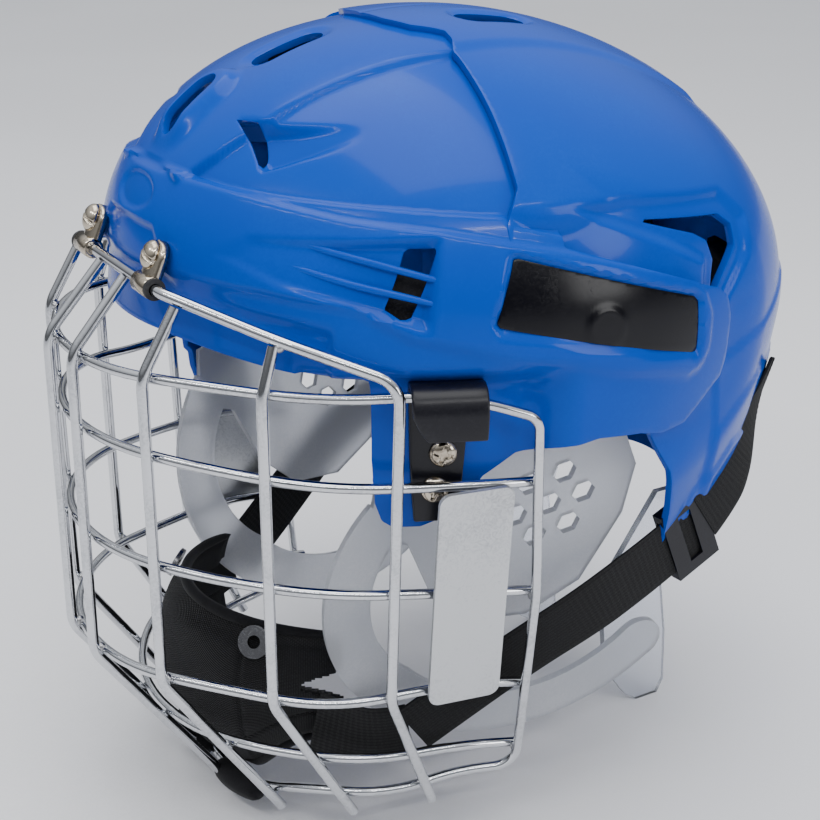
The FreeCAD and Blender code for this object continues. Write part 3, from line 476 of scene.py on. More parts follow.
# %% the rear shell's outlines
REAR_OUTLINE = [
    (-60, 232.5), (-10, 228), (-10, 172), (20, 168), (26, 159), (36, 143), (40, 125), (43, 96),
    (46, 90), (52, 88), (170, 88), (170, 300), (-60, 300)]
REAR_FRONT_EDGE = ([0, 14, 25, 30, 34, 40, 46, 49, 60, 75, 94, 99, 120],
                   [-25, -24, -20, -15, -12, -13, -16, -16, -17.5, -19.5, -22.5, -29, -31])
V_VENT = [
    (17, 235), (59, 229.5), (66, 225), (67, 218), (54, 200), (53.2, 202), (55, 216), (51, 223), (44, 226.5)]
V_FIELD = [(-6, 240), (15, 241), (62, 236), (74, 226), (73, 214), (54, 190), (46, 196), (48, 216), (30, 225)]
NAPE_STEPS = [
    [(60, 176), (110, 196), (170, 196), (170, 80), (58, 80)],
    [(58, 150), (86, 166), (170, 170), (170, 80), (55, 80)],
    [(52, 128), (72, 143), (170, 146), (170, 80), (50, 80)]]


def rear_keep(points):
    """Negative where the rear shell is."""
    side, top, front = views(points)
    level = outline_distance(side, REAR_OUTLINE)
    edge = np.interp(top[:, 0], *REAR_FRONT_EDGE) - side[:, 0]
    level = np.maximum(level, np.where(side[:, 1] > 226, edge, -20))
    level = np.maximum(level, -outline_distance(side, V_VENT))
    level = np.maximum(level, -crown_vent(points, 7.5, 22.5, 6.0, 20))
    arch = 12 - np.sqrt((front[:, 0] / 3.2) ** 2 + (front[:, 1] - 84.0) ** 2)
    return np.maximum(level, np.where(side[:, 0] > 60, arch, -20))


def rear_relief(points):
    """How far the rear shell stands off the dome."""
    side, top, _ = views(points)
    wing = outline_distance(side, WING)
    over_front = ease(side[:, 1], 231, 243) * (1 - ease(side[:, 0], -8, 40))
    beside = np.maximum(ease(wing, 1.0, 26.0), over_front)
    level = -2.0 + 4.4 * beside
    level -= 4.6 * (1 - ease(wing, -4.0, -0.5))
    level += 1.2 * (1 - ease(outline_distance(top, CROWN_EDGE), -2, 4)) * (side[:, 1] > 240)
    level -= 1.8 * (1 - ease(outline_distance(side, V_FIELD), -3.5, 1.0))
    for outline in NAPE_STEPS:
        level += 0.9 * (1 - ease(outline_distance(side, outline), -0.6, 1.6)) - 0.9
    level += 0.9
    slot = line_distance(top, [(20, 7.5), (20, 22.5)])
    return level - 1.4 * (1 - ease(slot, 5.8, 9.0))


rear_shell = domed_skin("rear_shell_skin", rear_keep, rear_relief, 2.6, BLUE)
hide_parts("rear_shell")
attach(rear_shell, "rear_half")


# %% [markdown]
# ## The black insets
# A satin black plate sits in the recess of each wing. A plate cut from the same dome follows it
# exactly, and a shallow round boss keeps it from looking like paint.

# %% the insets
def panel_keep(points):
    """Negative on the inset plate, a hair inside its recess."""
    return outline_distance(views(points)[0], PANEL_OUTLINE) + 1.3


def panel_relief(points):
    """The plate's level, with its faint round boss."""
    side = views(points)[0]
    boss = np.linalg.norm(side - np.array([0.0, 203.0]), axis=1)
    ring = np.exp(-((boss - 6.5) / 1.1) ** 2)
    return -0.35 + 0.35 * (1 - ease(boss, 5.5, 7.5)) + 0.25 * ring


for side_name, sign in SIDES:
    panel = domed_skin("inset_plate_" + side_name, panel_keep, panel_relief, 0.9, INSET, int(sign), 0.3)
    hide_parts("side_panel_" + side_name)
    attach(panel, "helmet")

# %% [markdown]
# ## Louvre fins
# Two thin ribs run over the air scoop and bridge its dark vent. Each is a path on the dome, so
# a Geometry Nodes tree sweeps one round profile along both, tapering at the ends. The tree
# takes the rib's radius as an input and is turned into a plain mesh before it rides.

# %% a sweep tree that the fins, and later the cup's binding, share
def sweep_tree():
    """Curve in, swept tube out: its radius is an input, and both of its ends taper."""
    tree = bpy.data.node_groups.new("Sweep Rib", "GeometryNodeTree")
    tree.interface.new_socket("Geometry", in_out="INPUT", socket_type="NodeSocketGeometry")
    tree.interface.new_socket("Radius", in_out="INPUT", socket_type="NodeSocketFloat").default_value = MM
    tree.interface.new_socket("Finish", in_out="INPUT", socket_type="NodeSocketMaterial")
    tree.interface.new_socket("Geometry", in_out="OUTPUT", socket_type="NodeSocketGeometry")
    make = tree.nodes.new
    given, result = make("NodeGroupInput"), make("NodeGroupOutput")
    again = make("GeometryNodeResampleCurve")
    again.inputs["Count"].default_value = 48
    along = make("GeometryNodeSplineParameter")
    curve = make("ShaderNodeFloatCurve")
    points = curve.mapping.curves[0].points
    points[0].location = (0.0, 0.12)
    points[1].location = (1.0, 0.12)
    points.new(0.12, 0.85)
    points.new(0.88, 0.85)
    curve.mapping.update()
    scale = make("ShaderNodeMath")
    scale.operation = "MULTIPLY"
    width = make("GeometryNodeSetCurveRadius")
    ring = make("GeometryNodeCurvePrimitiveCircle")
    ring.inputs["Resolution"].default_value = 12
    ring.inputs["Radius"].default_value = 1.0
    tube = make("GeometryNodeCurveToMesh")
    tube.inputs["Fill Caps"].default_value = True
    coat = make("GeometryNodeSetMaterial")
    smooth = make("GeometryNodeSetShadeSmooth")
    real = make("GeometryNodeRealizeInstances")
    link = tree.links.new
    link(given.outputs["Geometry"], again.inputs["Curve"])
    link(again.outputs["Curve"], width.inputs["Curve"])
    link(along.outputs["Factor"], curve.inputs["Value"])
    link(curve.outputs["Value"], scale.inputs[0])
    link(given.outputs["Radius"], scale.inputs[1])
    link(scale.outputs[0], width.inputs["Radius"])
    link(width.outputs["Curve"], tube.inputs["Curve"])
    link(ring.outputs["Curve"], tube.inputs["Profile Curve"])
    if "Scale" in tube.inputs:
        link(scale.outputs[0], tube.inputs["Scale"])
    link(tube.outputs["Mesh"], smooth.inputs["Geometry"])
    link(smooth.outputs["Geometry"], real.inputs["Geometry"])
    link(real.outputs["Geometry"], coat.inputs["Geometry"])
    link(given.outputs["Finish"], coat.inputs["Material"])
    link(coat.outputs["Geometry"], result.inputs["Geometry"])
    return tree


def set_input(modifier, label, value):
    """Sets a tree's named input by its socket identifier."""
    for item in modifier.node_group.interface.items_tree:
        if item.item_type == "SOCKET" and item.in_out == "INPUT" and item.name == label:
            modifier[item.identifier] = value


def swept(name, lines, radius, material):
    """A piece swept along smooth lines of millimetre points."""
    data = bpy.data.curves.new(name, "CURVE")
    data.dimensions = "3D"
    for line in lines:
        spline = data.splines.new("NURBS")
        spline.points.add(len(line) - 1)
        for point, place in zip(spline.points, line):
            point.co = (*(Vector(place) * MM), 1.0)
        spline.order_u = 3
        spline.use_endpoint_u = True
    path = bpy.data.objects.new(name + "_path", data)
    scene.collection.objects.link(path)
    sweep = path.modifiers.new("sweep", "NODES")
    sweep.node_group = SWEEP
    set_input(sweep, "Radius", radius * MM)
    set_input(sweep, "Finish", material)
    bpy.context.view_layer.update()
    mesh = bpy.data.meshes.new_from_object(path.evaluated_get(bpy.context.evaluated_depsgraph_get()))
    mesh.name = name
    bpy.data.objects.remove(path)
    piece = bpy.data.objects.new(name, mesh)
    scene.collection.objects.link(piece)
    print(name, "faces", len(mesh.polygons))
    return piece


SWEEP = sweep_tree()


# %% the fins
def dome_across(y, z, lift=0.0):
    """How far the dome reaches sideways at a (y, z) of the side view."""
    local_back = (y - DOME_CENTRE[1]) * BACK[1] + (z - DOME_CENTRE[2]) * BACK[2]
    local_up = (y - DOME_CENTRE[1]) * UP[1] + (z - DOME_CENTRE[2]) * UP[2]
    tall = RISE if local_up > 0 else DROP
    rest = 1 - (local_back / (HALF_LENGTH + lift)) ** 2 - (local_up / (tall + lift)) ** 2
    return (HALF_WIDTH + lift) * math.sqrt(max(rest, 0.0))


FIN_LINES = [[(-92, 234.8), (-81.7, 231.2), (-71.6, 228.3), (-62, 225.4), (-47.5, 220.8)],
             [(-95.5, 228.4), (-86.2, 224.6), (-72.7, 220.3), (-62.9, 218), (-51.5, 214.6)]]
for side_name, sign in SIDES:
    lines = [[(sign * dome_across(y, z, -0.9), y, z) for y, z in line] for line in FIN_LINES]
    fins = swept("louvre_fins_" + side_name, lines, 1.25, BLUE)
    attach(fins, "helmet")

# %% [markdown]
# ## Foam
# The liner is black foam a finger thick. Each pad is a swollen patch of the dome that thins to
# its edge, so it reads as soft where it shows under the brow and through the vents.


# %% the pads
def foam_pad(name, outline, level, thick, node, body, sides=2, across=200.0, inner=0.0):
    """A crowned pad on the inside of a shell; level is its shell side."""
    def keep(points):
        side, top, _ = views(points)
        return np.maximum(np.maximum(outline_distance(side, outline), top[:, 0] - across), inner - top[:, 0])

    def belly(points):
        return level - 0.9 * (1 - ease(-keep(points), 0, 5.0))

    pad = domed_skin(name, keep, belly, thick, FOAM, sides, 0)
    crown_pad_surface(pad, keep, thick)
    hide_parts(node)
    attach(pad, body)


def crown_pad_surface(pad, keep, thick):
    """Pulls the inner face outwards near the pad's edge, so the pad is crowned."""
    mesh = pad.data
    places = np.empty(len(mesh.vertices) * 3)
    mesh.vertices.foreach_get("co", places)
    places = places.reshape(-1, 3) / MM
    surface, normals = on_dome(to_direction(places))
    depth = np.einsum("ij,ij->i", surface - places, normals)
    near_edge = 1 - ease(-keep(surface), 0, 7.0)
    deep = ease(depth, depth.max() - thick * 0.6, depth.max())
    places += normals * (near_edge * deep * thick * 0.55)[:, None]
    mesh.vertices.foreach_set("co", (places * MM).ravel())
    mesh.update()


foam_pad("brow_foam", [(-135, 203), (-84, 203), (-84, 240), (-135, 240)], -5.6, 8.6,
         "brow_pad", "helmet", 2, 62)
foam_pad("crown_foam", [(-44, 240), (-17, 240), (-17, 300), (-44, 300)], -5.8, 8.4,
         "crown_pad", "helmet", 2, 44)
foam_pad("rear_crown_foam", [(6, 240), (70, 240), (70, 300), (6, 300)], -11, 7.5,
         "rear_crown_pad", "rear_half", 2, 44)
for side_name, sign in SIDES:
    foam_pad("temple_foam_" + side_name, [(-80, 194), (-28, 194), (-28, 222), (-80, 226)], -6.6, 7.4,
             "temple_pad_" + side_name, "helmet", int(sign))
    foam_pad("rear_foam_" + side_name, [(84, 108), (170, 108), (170, 196), (84, 196)], -10.5, 7.5,
             "rear_pad_" + side_name, "rear_half", int(sign), 200.0, 22)

# %% [markdown]
# ## Webbing straps
# The chin strap is ribbed webbing, 23 mm wide. It is modelled as a strip with real cross ribs,
# because it is seen close and edge on, where a bump alone would look flat. Its UV map counts
# millimetres along the strap for the fine weave.


# %% a strap along a route
RIB_STEP = 1.1
WEAVE_PER_MM = 0.008


def smooth_route(route):
    """Evenly spaced points of a smooth curve through the route's points."""
    data = bpy.data.curves.new("route", "CURVE")
    data.dimensions = "3D"
    spline = data.splines.new("NURBS")
    spline.points.add(len(route) - 1)
    for point, place in zip(spline.points, route):
        point.co = (*place, 1.0)
    spline.order_u = 3
    spline.use_endpoint_u = True
    spline.resolution_u = 24
    curve = bpy.data.objects.new("route", data)
    scene.collection.objects.link(curve)
    mesh = bpy.data.meshes.new_from_object(curve)
    line = np.array([v.co[:] for v in mesh.vertices])
    bpy.data.objects.remove(curve)
    bpy.data.meshes.remove(mesh)
    gaps = np.linalg.norm(np.diff(line, axis=0), axis=1)
    reach = np.concatenate([[0], np.cumsum(gaps)])
    marks = np.arange(0, reach[-1], RIB_STEP)
    return np.stack([np.interp(marks, reach, line[:, k]) for k in range(3)], 1)


def lie_flat(line):
    """Which way webbing faces: sideways beside the ear, and off the shell behind it."""
    behind = ease(line[:, 1], 72, 100)[:, None]
    sideways = np.stack([np.sign(line[:, 0]), np.zeros(len(line)), np.zeros(len(line))], 1)
    off_shell = line * np.array([1.0, 1.0, 0.0])
    off_shell /= np.linalg.norm(off_shell, axis=1, keepdims=True)
    return sideways * (1 - behind) + off_shell * behind


def strap(name, route, width, thick):
    """Ribbed webbing along a route; lie_flat says which way it faces."""
    line = smooth_route(route)
    ahead = np.gradient(line, axis=0)
    ahead /= np.linalg.norm(ahead, axis=1, keepdims=True)
    flat = lie_flat(line)
    flat -= ahead * np.einsum("ij,ij->i", flat, ahead)[:, None]
    flat /= np.linalg.norm(flat, axis=1, keepdims=True)
    wide = np.cross(ahead, flat)
    columns = 12
    count = len(line)
    verts, faces, weave = [], [], []
    for layer in (0.5, -0.5):
        for i in range(count):
            rib = 0.16 * (1 if i % 2 else -1)
            for j in range(columns + 1):
                share = j / columns
                edge = min(share, 1 - share) * columns
                body = thick * (0.62 + 0.38 * min(edge, 1.0)) + rib * (edge > 0.5)
                place = line[i] + wide[i] * width * (share - 0.5) + flat[i] * body * layer
                verts.append(tuple(place * MM))
                weave.append((share, i * RIB_STEP * WEAVE_PER_MM))
    row, sheet = columns + 1, (columns + 1) * count
    for i in range(count - 1):
        for j in range(columns):
            a, b, c, d = i * row + j, i * row + j + 1, (i + 1) * row + j + 1, (i + 1) * row + j
            faces.append((a, b, c, d))
            faces.append((d + sheet, c + sheet, b + sheet, a + sheet))
        for j, flip in ((0, False), (columns, True)):
            a, b = i * row + j, (i + 1) * row + j
            quad = (a, b, b + sheet, a + sheet)
            faces.append(tuple(reversed(quad)) if flip else quad)
    for i in (0, count - 1):
        for j in range(columns):
            a, b = i * row + j, i * row + j + 1
            quad = (a, a + sheet, b + sheet, b)
            faces.append(tuple(reversed(quad)) if i else quad)
    mesh = bpy.data.meshes.new(name)
    mesh.from_pydata(verts, [], faces)
    layer = mesh.uv_layers.new(name="Weave")
    for loop in mesh.loops:
        layer.data[loop.index].uv = weave[loop.vertex_index]
    mesh.materials.append(WEBBING)
    piece = bpy.data.objects.new(name, mesh)
    scene.collection.objects.link(piece)
    right_way_out(piece)
    print(name, "length mm", round(count * RIB_STEP))
    return piece


def right_way_out(piece):
    """Recalculates a closed mesh's normals so that they point outwards."""
    mesh = bmesh.new()
    mesh.from_mesh(piece.data)
    bmesh.ops.recalc_face_normals(mesh, faces=mesh.faces)
    mesh.to_mesh(piece.data)
    mesh.free()


# %% the neck and cheek straps
NECK_ROUTE = [(76, -49, 50), (80, -36, 59), (88, -12, 76), (97, 10, 91), (98.7, 28, 100.2), (98, 45, 107.3),
              (96.6, 60, 114), (92, 74, 121), (86, 85, 128), (79, 96, 136), (74, 106, 145), (69, 115, 154)]
TAIL_ROUTE = [(99, 60, 117), (97, 70, 124), (93.5, 78, 132), (89.5, 86, 141), (85.5, 94, 150), (82, 101, 158),
              (80.5, 104, 162)]
CHEEK_ROUTE = [(53.5, -76.5, 50), (60, -71.5, 48.8), (68, -64.8, 48), (74, -56, 49), (76, -49.5, 50)]
for side_name, sign in SIDES:
    mirror = np.array([sign, 1, 1])
    neck = strap("neck_webbing_" + side_name, [tuple(mirror * p) for p in NECK_ROUTE], 23.0, 1.3)
    tail = strap("webbing_tail_" + side_name, [tuple(mirror * p) for p in TAIL_ROUTE], 22.0, 1.3)
    cheek = strap("cheek_webbing_" + side_name, [tuple(mirror * p) for p in CHEEK_ROUTE], 23.0, 1.3)
    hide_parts("neck_strap_" + side_name)
    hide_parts("cheek_strap_" + side_name)
    for piece, body in ((neck, "helmet"), (tail, "helmet"), (cheek, "cage")):
        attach(piece, body)

# %% [markdown]
# ## The chin cup
# The cup is a padded fabric sling: a shallow shell of foam under a black knit, bound at its
# edge, with two ringed snaps. It is grown from the same egg as the frame's cup, with a soft
# bulge, a seam across it and a rolled binding along the rim.

# %% the cup
CUP_CENTRE = np.array([0.0, -48.0, 54.0])
CUP_HALF = np.array([58.0, 63.0, 56.0])
CUP_COLUMNS, CUP_ROWS = 120, 64
CUP_REACH = math.radians(74)
SLIT_START = 0.80


def cup_point(turn, rise, shrink):
    """A point of the cup's egg, shrunk, at a turn about the vertical and a rise."""
    ray = np.array([math.sin(turn) * math.cos(rise), -math.cos(turn) * math.cos(rise), math.sin(rise)])
    return CUP_CENTRE + ray * (CUP_HALF - shrink)


def cup_span(share):
    """Lowest and highest rise of the cup at a share, 0 in the middle and 1 at an end."""
    low = -49 + 34 * ease(np.array([share]), 0.3, 0.85)[0]
    return math.radians(low), math.radians(33 - 6 * share ** 2)


def in_slit(across, up):
    """True in the narrow gap that parts each end of the cup into two arms."""
    reach = (abs(across) - SLIT_START) / (1 - SLIT_START)
    return reach > 0 and abs(up - 0.55) < 0.03 + 0.10 * reach


def cup_mesh():
    """The padded cup: outer and inner faces over foam, with a seam round its middle."""
    verts, faces = [], []
    for layer in (0, 1):
        for i in range(CUP_COLUMNS + 1):
            across = 2 * i / CUP_COLUMNS - 1
            low, high = cup_span(abs(across))
            for j in range(CUP_ROWS + 1):
                up = j / CUP_ROWS
                edge = min(up, 1 - up, (1 - abs(across)) * 1.6)
                crown = ease(np.array([edge]), 0.0, 0.14)[0]
                seam = math.exp(-((up - 0.30) / 0.012) ** 2) + math.exp(-((abs(across) - 0.5) / 0.009) ** 2)
                puff = 2.4 * crown - 1.0 * seam * crown
                fold = 0.5 * math.sin(9 * across + 5 * up) * math.sin(11 * up) * crown
                shrink = 2.7 - puff - fold if layer == 0 else 2.7 + puff * 0.9
                verts.append(tuple(cup_point(across * CUP_REACH, low + (high - low) * up, shrink) * MM))
    row, sheet = CUP_ROWS + 1, (CUP_ROWS + 1) * (CUP_COLUMNS + 1)
    kept = {(i, j) for i in range(CUP_COLUMNS) for j in range(CUP_ROWS)
            if not in_slit(2 * (i + 0.5) / CUP_COLUMNS - 1, (j + 0.5) / CUP_ROWS)}
    for i, j in sorted(kept):
        a, b, c, d = i * row + j, (i + 1) * row + j, (i + 1) * row + j + 1, i * row + j + 1
        faces.append((a, b, c, d))
        faces.append((d + sheet, c + sheet, b + sheet, a + sheet))
        for step, pair in (((-1, 0), (d, a)), ((1, 0), (b, c)), ((0, -1), (a, b)), ((0, 1), (c, d))):
            if (i + step[0], j + step[1]) not in kept:
                faces.append((pair[0], pair[0] + sheet, pair[1] + sheet, pair[1]))
    mesh = bpy.data.meshes.new("chin_cup_cover")
    mesh.from_pydata(verts, [], faces)
    layer = mesh.uv_layers.new(name="Weave")
    for loop in mesh.loops:
        index = loop.vertex_index % sheet
        layer.data[loop.index].uv = (index // row / CUP_COLUMNS, index % row / CUP_ROWS)
    return mesh


cup = bpy.data.objects.new("chin_cup_cover", cup_mesh())
scene.collection.objects.link(cup)
cup.data.materials.append(KNIT)
tidy_mesh(cup)
right_way_out(cup)
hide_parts("chin_cup")
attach(cup, "cage")
print("cup faces:", len(cup.data.polygons))

# %% the cup's binding, and the sleeves that lash it to the wires
rim = []
for up_edge in (0, 1):
    stops = np.linspace(-1, 1, 25)
    rim.append([tuple(cup_point(s * CUP_REACH, cup_span(abs(s))[up_edge], 2.7)) for s in stops])
binding = swept("cup_binding", rim, 2.2, KNIT)
LASHING = [(6, -94.6, 9.5), (12, -94.4, 9.8), (20, -93.6, 10.6), (28, -92.4, 11.8), (35, -91, 13.2)]
sleeves = swept("cup_lashings", [[(sign * x, y, z) for x, y, z in LASHING] for _, sign in SIDES], 5.0, KNIT)
for trim in (binding, sleeves):
    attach(trim, "cage")

# %% [markdown]
# ## Screw heads
# A screw head reads by its recess: a straight slot in the brow screws, a cross in the hook
# screws. One disc of fine squares is lifted into a dome and pressed in where the driver goes.

# %% one function for every head
HEAD_STEPS = 44


def disc_cap(centre, outward, upward, radius, tall, recess, stretch=1.0):
    """Points and quads of a domed head, stretched upwards; recess(x, y) is 1 where a driver bites."""
    outward = np.array(outward) / np.linalg.norm(outward)
    upward = np.array(upward) - outward * np.dot(upward, outward)
    upward /= np.linalg.norm(upward)
    aside = np.cross(upward, outward)
    verts, faces = [], []
    for i in range(HEAD_STEPS + 1):
        for j in range(HEAD_STEPS + 1):
            u, v = 2 * i / HEAD_STEPS - 1, 2 * j / HEAD_STEPS - 1
            x, y = u * math.sqrt(1 - v * v / 2), v * math.sqrt(1 - u * u / 2)
            out = math.hypot(x, y)
            lift = tall * math.sqrt(max(0.0, 1 - out ** 2.4)) - 0.4 * tall * recess(x, y)
            verts.append(centre + (aside * x + upward * y * stretch) * radius + outward * lift)
    row = HEAD_STEPS + 1
    for i in range(HEAD_STEPS):
        for j in range(HEAD_STEPS):
            faces.append((i * row + j, (i + 1) * row + j, (i + 1) * row + j + 1, i * row + j + 1))
    return verts, faces


def slot_recess(x, y):
    """A straight slot across a head."""
    return float(abs(x * 0.35 + y * 0.94) < 0.13)


def cross_recess(x, y):
    """A cross that narrows outwards."""
    arm = 0.17 * (1.15 - math.hypot(x, y))
    return float(math.hypot(x, y) < 0.72 and min(abs(x), abs(y)) < arm + 0.04)


def joined(name, parts, material):
    """One piece from several (points in mm, faces) lists."""
    verts, faces = [], []
    for points, quads in parts:
        start = len(verts)
        verts += [tuple(np.array(p) * MM) for p in points]
        faces += [tuple(start + k for k in quad) for quad in quads]
    mesh = bpy.data.meshes.new(name)
    mesh.from_pydata(verts, [], faces)
    mesh.materials.append(material)
    piece = bpy.data.objects.new(name, mesh)
    scene.collection.objects.link(piece)
    for face in mesh.polygons:
        face.use_smooth = True
    return piece


# %% [markdown]
# ## The black hooks and their cross-head screws
# Each side hook is one moulded strip: a plate screwed to the temple, bent out over the top and
# down again in front of the rim wire. The bend is a path in the plane that leans outwards, and
# the strip's width changes along it.

# %% the hooks
WRAP = np.array([0.913, -0.407, 0.0])
ALONG = np.array([0.407, 0.913, 0.0])
HOOK_SEAT = np.array([dome_across(-52.0, 168.0, -12.0) + 0.9, -52.0, 0.0])
HOOK_SCREWS = ((6.0, 163.2), (3.4, 150.6))
HOOK_PATH = [
    (1.3, 139.0), (1.3, 150.0), (1.3, 163.0), (1.3, 176.0), (1.9, 184.0), (4.6, 188.0), (9.0, 188.6),
    (13.4, 188.0), (16.0, 185.2), (16.4, 181.0), (16.4, 177.0), (16.4, 173.0)]
HOOK_EDGES = [
    (-3.4, 11.4), (-4.2, 12.2), (-4.8, 13.2), (-5.0, 14.2), (-5.2, 16.2), (-5.5, 18.3), (-5.5, 18.5),
    (-5.5, 18.5), (-5.5, 18.5), (-5.2, 18.5), (-3.4, 18.4), (-0.6, 18.2)]
HALF_STRIP = 1.3


def hook_strip():
    """The bent strip as a closed solid of millimetre points and faces."""
    path = np.array(HOOK_PATH)
    steps = np.gradient(path, axis=0)
    steps /= np.linalg.norm(steps, axis=1, keepdims=True)
    side = np.stack([-steps[:, 1], steps[:, 0]], 1)
    columns = 6
    verts, faces = [], []
    for layer in (HALF_STRIP, -HALF_STRIP):
        for (out, z), (nudge_out, nudge_z), (low, high) in zip(path, side, HOOK_EDGES):
            for j in range(columns + 1):
                along = low + (high - low) * j / columns
                place = HOOK_SEAT + WRAP * (out + nudge_out * layer) + ALONG * along
                verts.append(place + np.array([0, 0, z + nudge_z * layer]))
    row, sheet = columns + 1, (columns + 1) * len(path)
    for i in range(len(path) - 1):
        for j in range(columns):
            a, b, c, d = i * row + j, i * row + j + 1, (i + 1) * row + j + 1, (i + 1) * row + j
            faces += [(a, b, c, d), (d + sheet, c + sheet, b + sheet, a + sheet)]
        for j in (0, columns):
            a, b = i * row + j, (i + 1) * row + j
            faces.append((a, b, b + sheet, a + sheet))
    for i in (0, len(path) - 1):
        for j in range(columns):
            a, b = i * row + j, i * row + j + 1
            faces.append((a, b, b + sheet, a + sheet))
    return verts, faces


def reflected(parts, sign):
    """The same parts on the other side when sign is -1."""
    return [([np.array(p) * np.array([sign, 1, 1]) for p in points], faces) for points, faces in parts]


for side_name, sign in SIDES:
    hook = joined("hook_strip_" + side_name, reflected([hook_strip()], sign), HOOK)
    right_way_out(hook)
    soft = hook.modifiers.new("edge", "BEVEL")
    soft.width = 0.7 * MM
    soft.segments = 3
    soft.angle_limit = math.radians(50)
    settle(hook)
    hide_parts("side_clip_" + side_name)
    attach(hook, "helmet")
    heads = []
    for along, height in HOOK_SCREWS:
        seat = HOOK_SEAT + ALONG * along + np.array([0, 0, height]) + WRAP * 2.6
        heads.append(disc_cap(seat, WRAP, (0.3, 0.2, 1.0), 4.7, 2.4, cross_recess))
    screws = joined("hook_screw_heads_" + side_name, reflected(heads, sign), NICKEL)
    thicken = screws.modifiers.new("wall", "SOLIDIFY")
    thicken.thickness = 0.4 * MM
    settle(screws)
    right_way_out(screws)
    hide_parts("side_clip_screws_" + side_name)
    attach(screws, "helmet")

# %% [markdown]
# ## The brow clips
# A brow clip is a nickel-plated tongue with a rounded top, rolled into a sleeve round the brow
# wire at its foot, and held by one oval screw with a straight slot.

# %% the clips
BROW_LEAN = math.radians(24.0)
BROW_OUT = np.array([0.0, -math.cos(BROW_LEAN), math.sin(BROW_LEAN)])
BROW_UP = np.array([0.0, math.sin(BROW_LEAN), math.cos(BROW_LEAN)])
HINGE_LINE = np.array([0.0, -119.5, 213.8])
SLEEVE_CENTRE, SLEEVE_HALF, SLEEVE_RADIUS = 27.5, 5.5, 3.7
TONGUE_FOOT, TONGUE_TOP = 2.6, 15.0


def tongue(centre):
    """A crowned plate with a round top, as points and faces; centre is on the hinge line."""
    columns, rows = 14, 26
    verts, faces = [], []
    for layer in (0.0, -2.2):
        for i in range(rows + 1):
            up = TONGUE_FOOT + (TONGUE_TOP - TONGUE_FOOT) * i / rows
            over = max(0.0, up - (TONGUE_TOP - SLEEVE_HALF))
            half = math.sqrt(max(0.12, SLEEVE_HALF ** 2 - over ** 2))
            for j in range(columns + 1):
                share = 2 * j / columns - 1
                crown = (1.4 * (1 - share ** 2) + 0.5) * (1 - 0.6 * (over / SLEEVE_HALF) ** 2)
                out = 0.3 + (crown if layer == 0 else layer)
                verts.append(centre + np.array([half * share, 0, 0]) + BROW_UP * up + BROW_OUT * out)
    row, sheet = columns + 1, (columns + 1) * (rows + 1)
    for i in range(rows):
        for j in range(columns):
            a, b, c, d = i * row + j, i * row + j + 1, (i + 1) * row + j + 1, (i + 1) * row + j
            faces += [(a, b, c, d), (d + sheet, c + sheet, b + sheet, a + sheet)]
        for j in (0, columns):
            a, b = i * row + j, (i + 1) * row + j
            faces.append((a, b, b + sheet, a + sheet))
    for i in (0, rows):
        for j in range(columns):
            a, b = i * row + j, i * row + j + 1
            faces.append((a, b, b + sheet, a + sheet))
    return verts, faces


def rolled_sleeve(centre, half, radius, bore):
    """A tube along X round the hinge line, with softened ends."""
    profile = [(-half, bore), (-half, radius - 0.5), (-half + 0.5, radius), (0, radius),
               (half - 0.5, radius), (half, radius - 0.5), (half, bore), (0, bore)]
    turns = 40
    verts, faces = [], []
    for k in range(turns):
        angle = math.tau * k / turns
        ring = np.array([0.0, math.cos(angle), math.sin(angle)])
        verts += [centre + np.array([x, 0, 0]) + ring * r for x, r in profile]
    count = len(profile)
    for k in range(turns):
        for p in range(count):
            a, b = k * count + p, k * count + (p + 1) % count
            c, d = ((k + 1) % turns) * count + (p + 1) % count, ((k + 1) % turns) * count + p
            faces.append((a, b, c, d))
    return verts, faces


for side_name, sign in SIDES:
    centre = HINGE_LINE + np.array([sign * SLEEVE_CENTRE, 0, 0])
    clip = joined("brow_tongue_" + side_name, [
        tongue(centre), rolled_sleeve(centre, SLEEVE_HALF, SLEEVE_RADIUS, 1.96)], NICKEL)
    right_way_out(clip)
    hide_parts("brow_clip_" + side_name)
    screw_spot = centre + BROW_UP * 9.6 + BROW_OUT * 1.5
    screw = joined("brow_screw_head_" + side_name, [
        disc_cap(screw_spot, BROW_OUT, BROW_UP, 4.1, 3.4, slot_recess, 1.24)], NICKEL)
    thicken = screw.modifiers.new("wall", "SOLIDIFY")
    thicken.thickness = 0.4 * MM
    settle(screw)
    right_way_out(screw)
    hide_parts("brow_screw_" + side_name)
    for piece, finish_slot in ((clip, "clip_steel"), (screw, "nickel")):
        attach(piece, "helmet")

# %% [markdown]
# ## Wires, plates and guards
# The frame's wires, plates and guards have the right shape, but their loose triangles shade as
# flats. A copy of each is merged, its creases are marked by angle, and the copy is shown in
# place of the node with smooth shading. The small lock screws, rubber rings and adjusters keep
# their own meshes and only take a finish.

# %% smooth copies of the frame's pieces
SMOOTHED = {
    "brow_wire": (CHROME, "chrome_wire", "cage"), "rim_wire": (CHROME, "chrome_wire", "cage"),
    "upright_": (CHROME, "chrome_wire", "cage"), "cross_wire_": (CHROME, "chrome_wire", "cage"),
    "side_plate_": (ZINC, "zinc_plate", "cage"), "ear_guard_": (FROST, "frosted_guard", "helmet"),
    "rear_tab_": (CLEAR, "clear_tab", "rear_half"), "chin_snaps": (RING, "nickel", "cage")}
KEPT_FINISH = {"size_lock_": NICKEL, "grommet_": RUBBER, "strap_adjuster_": HOOK}
CREASE = math.radians(38)


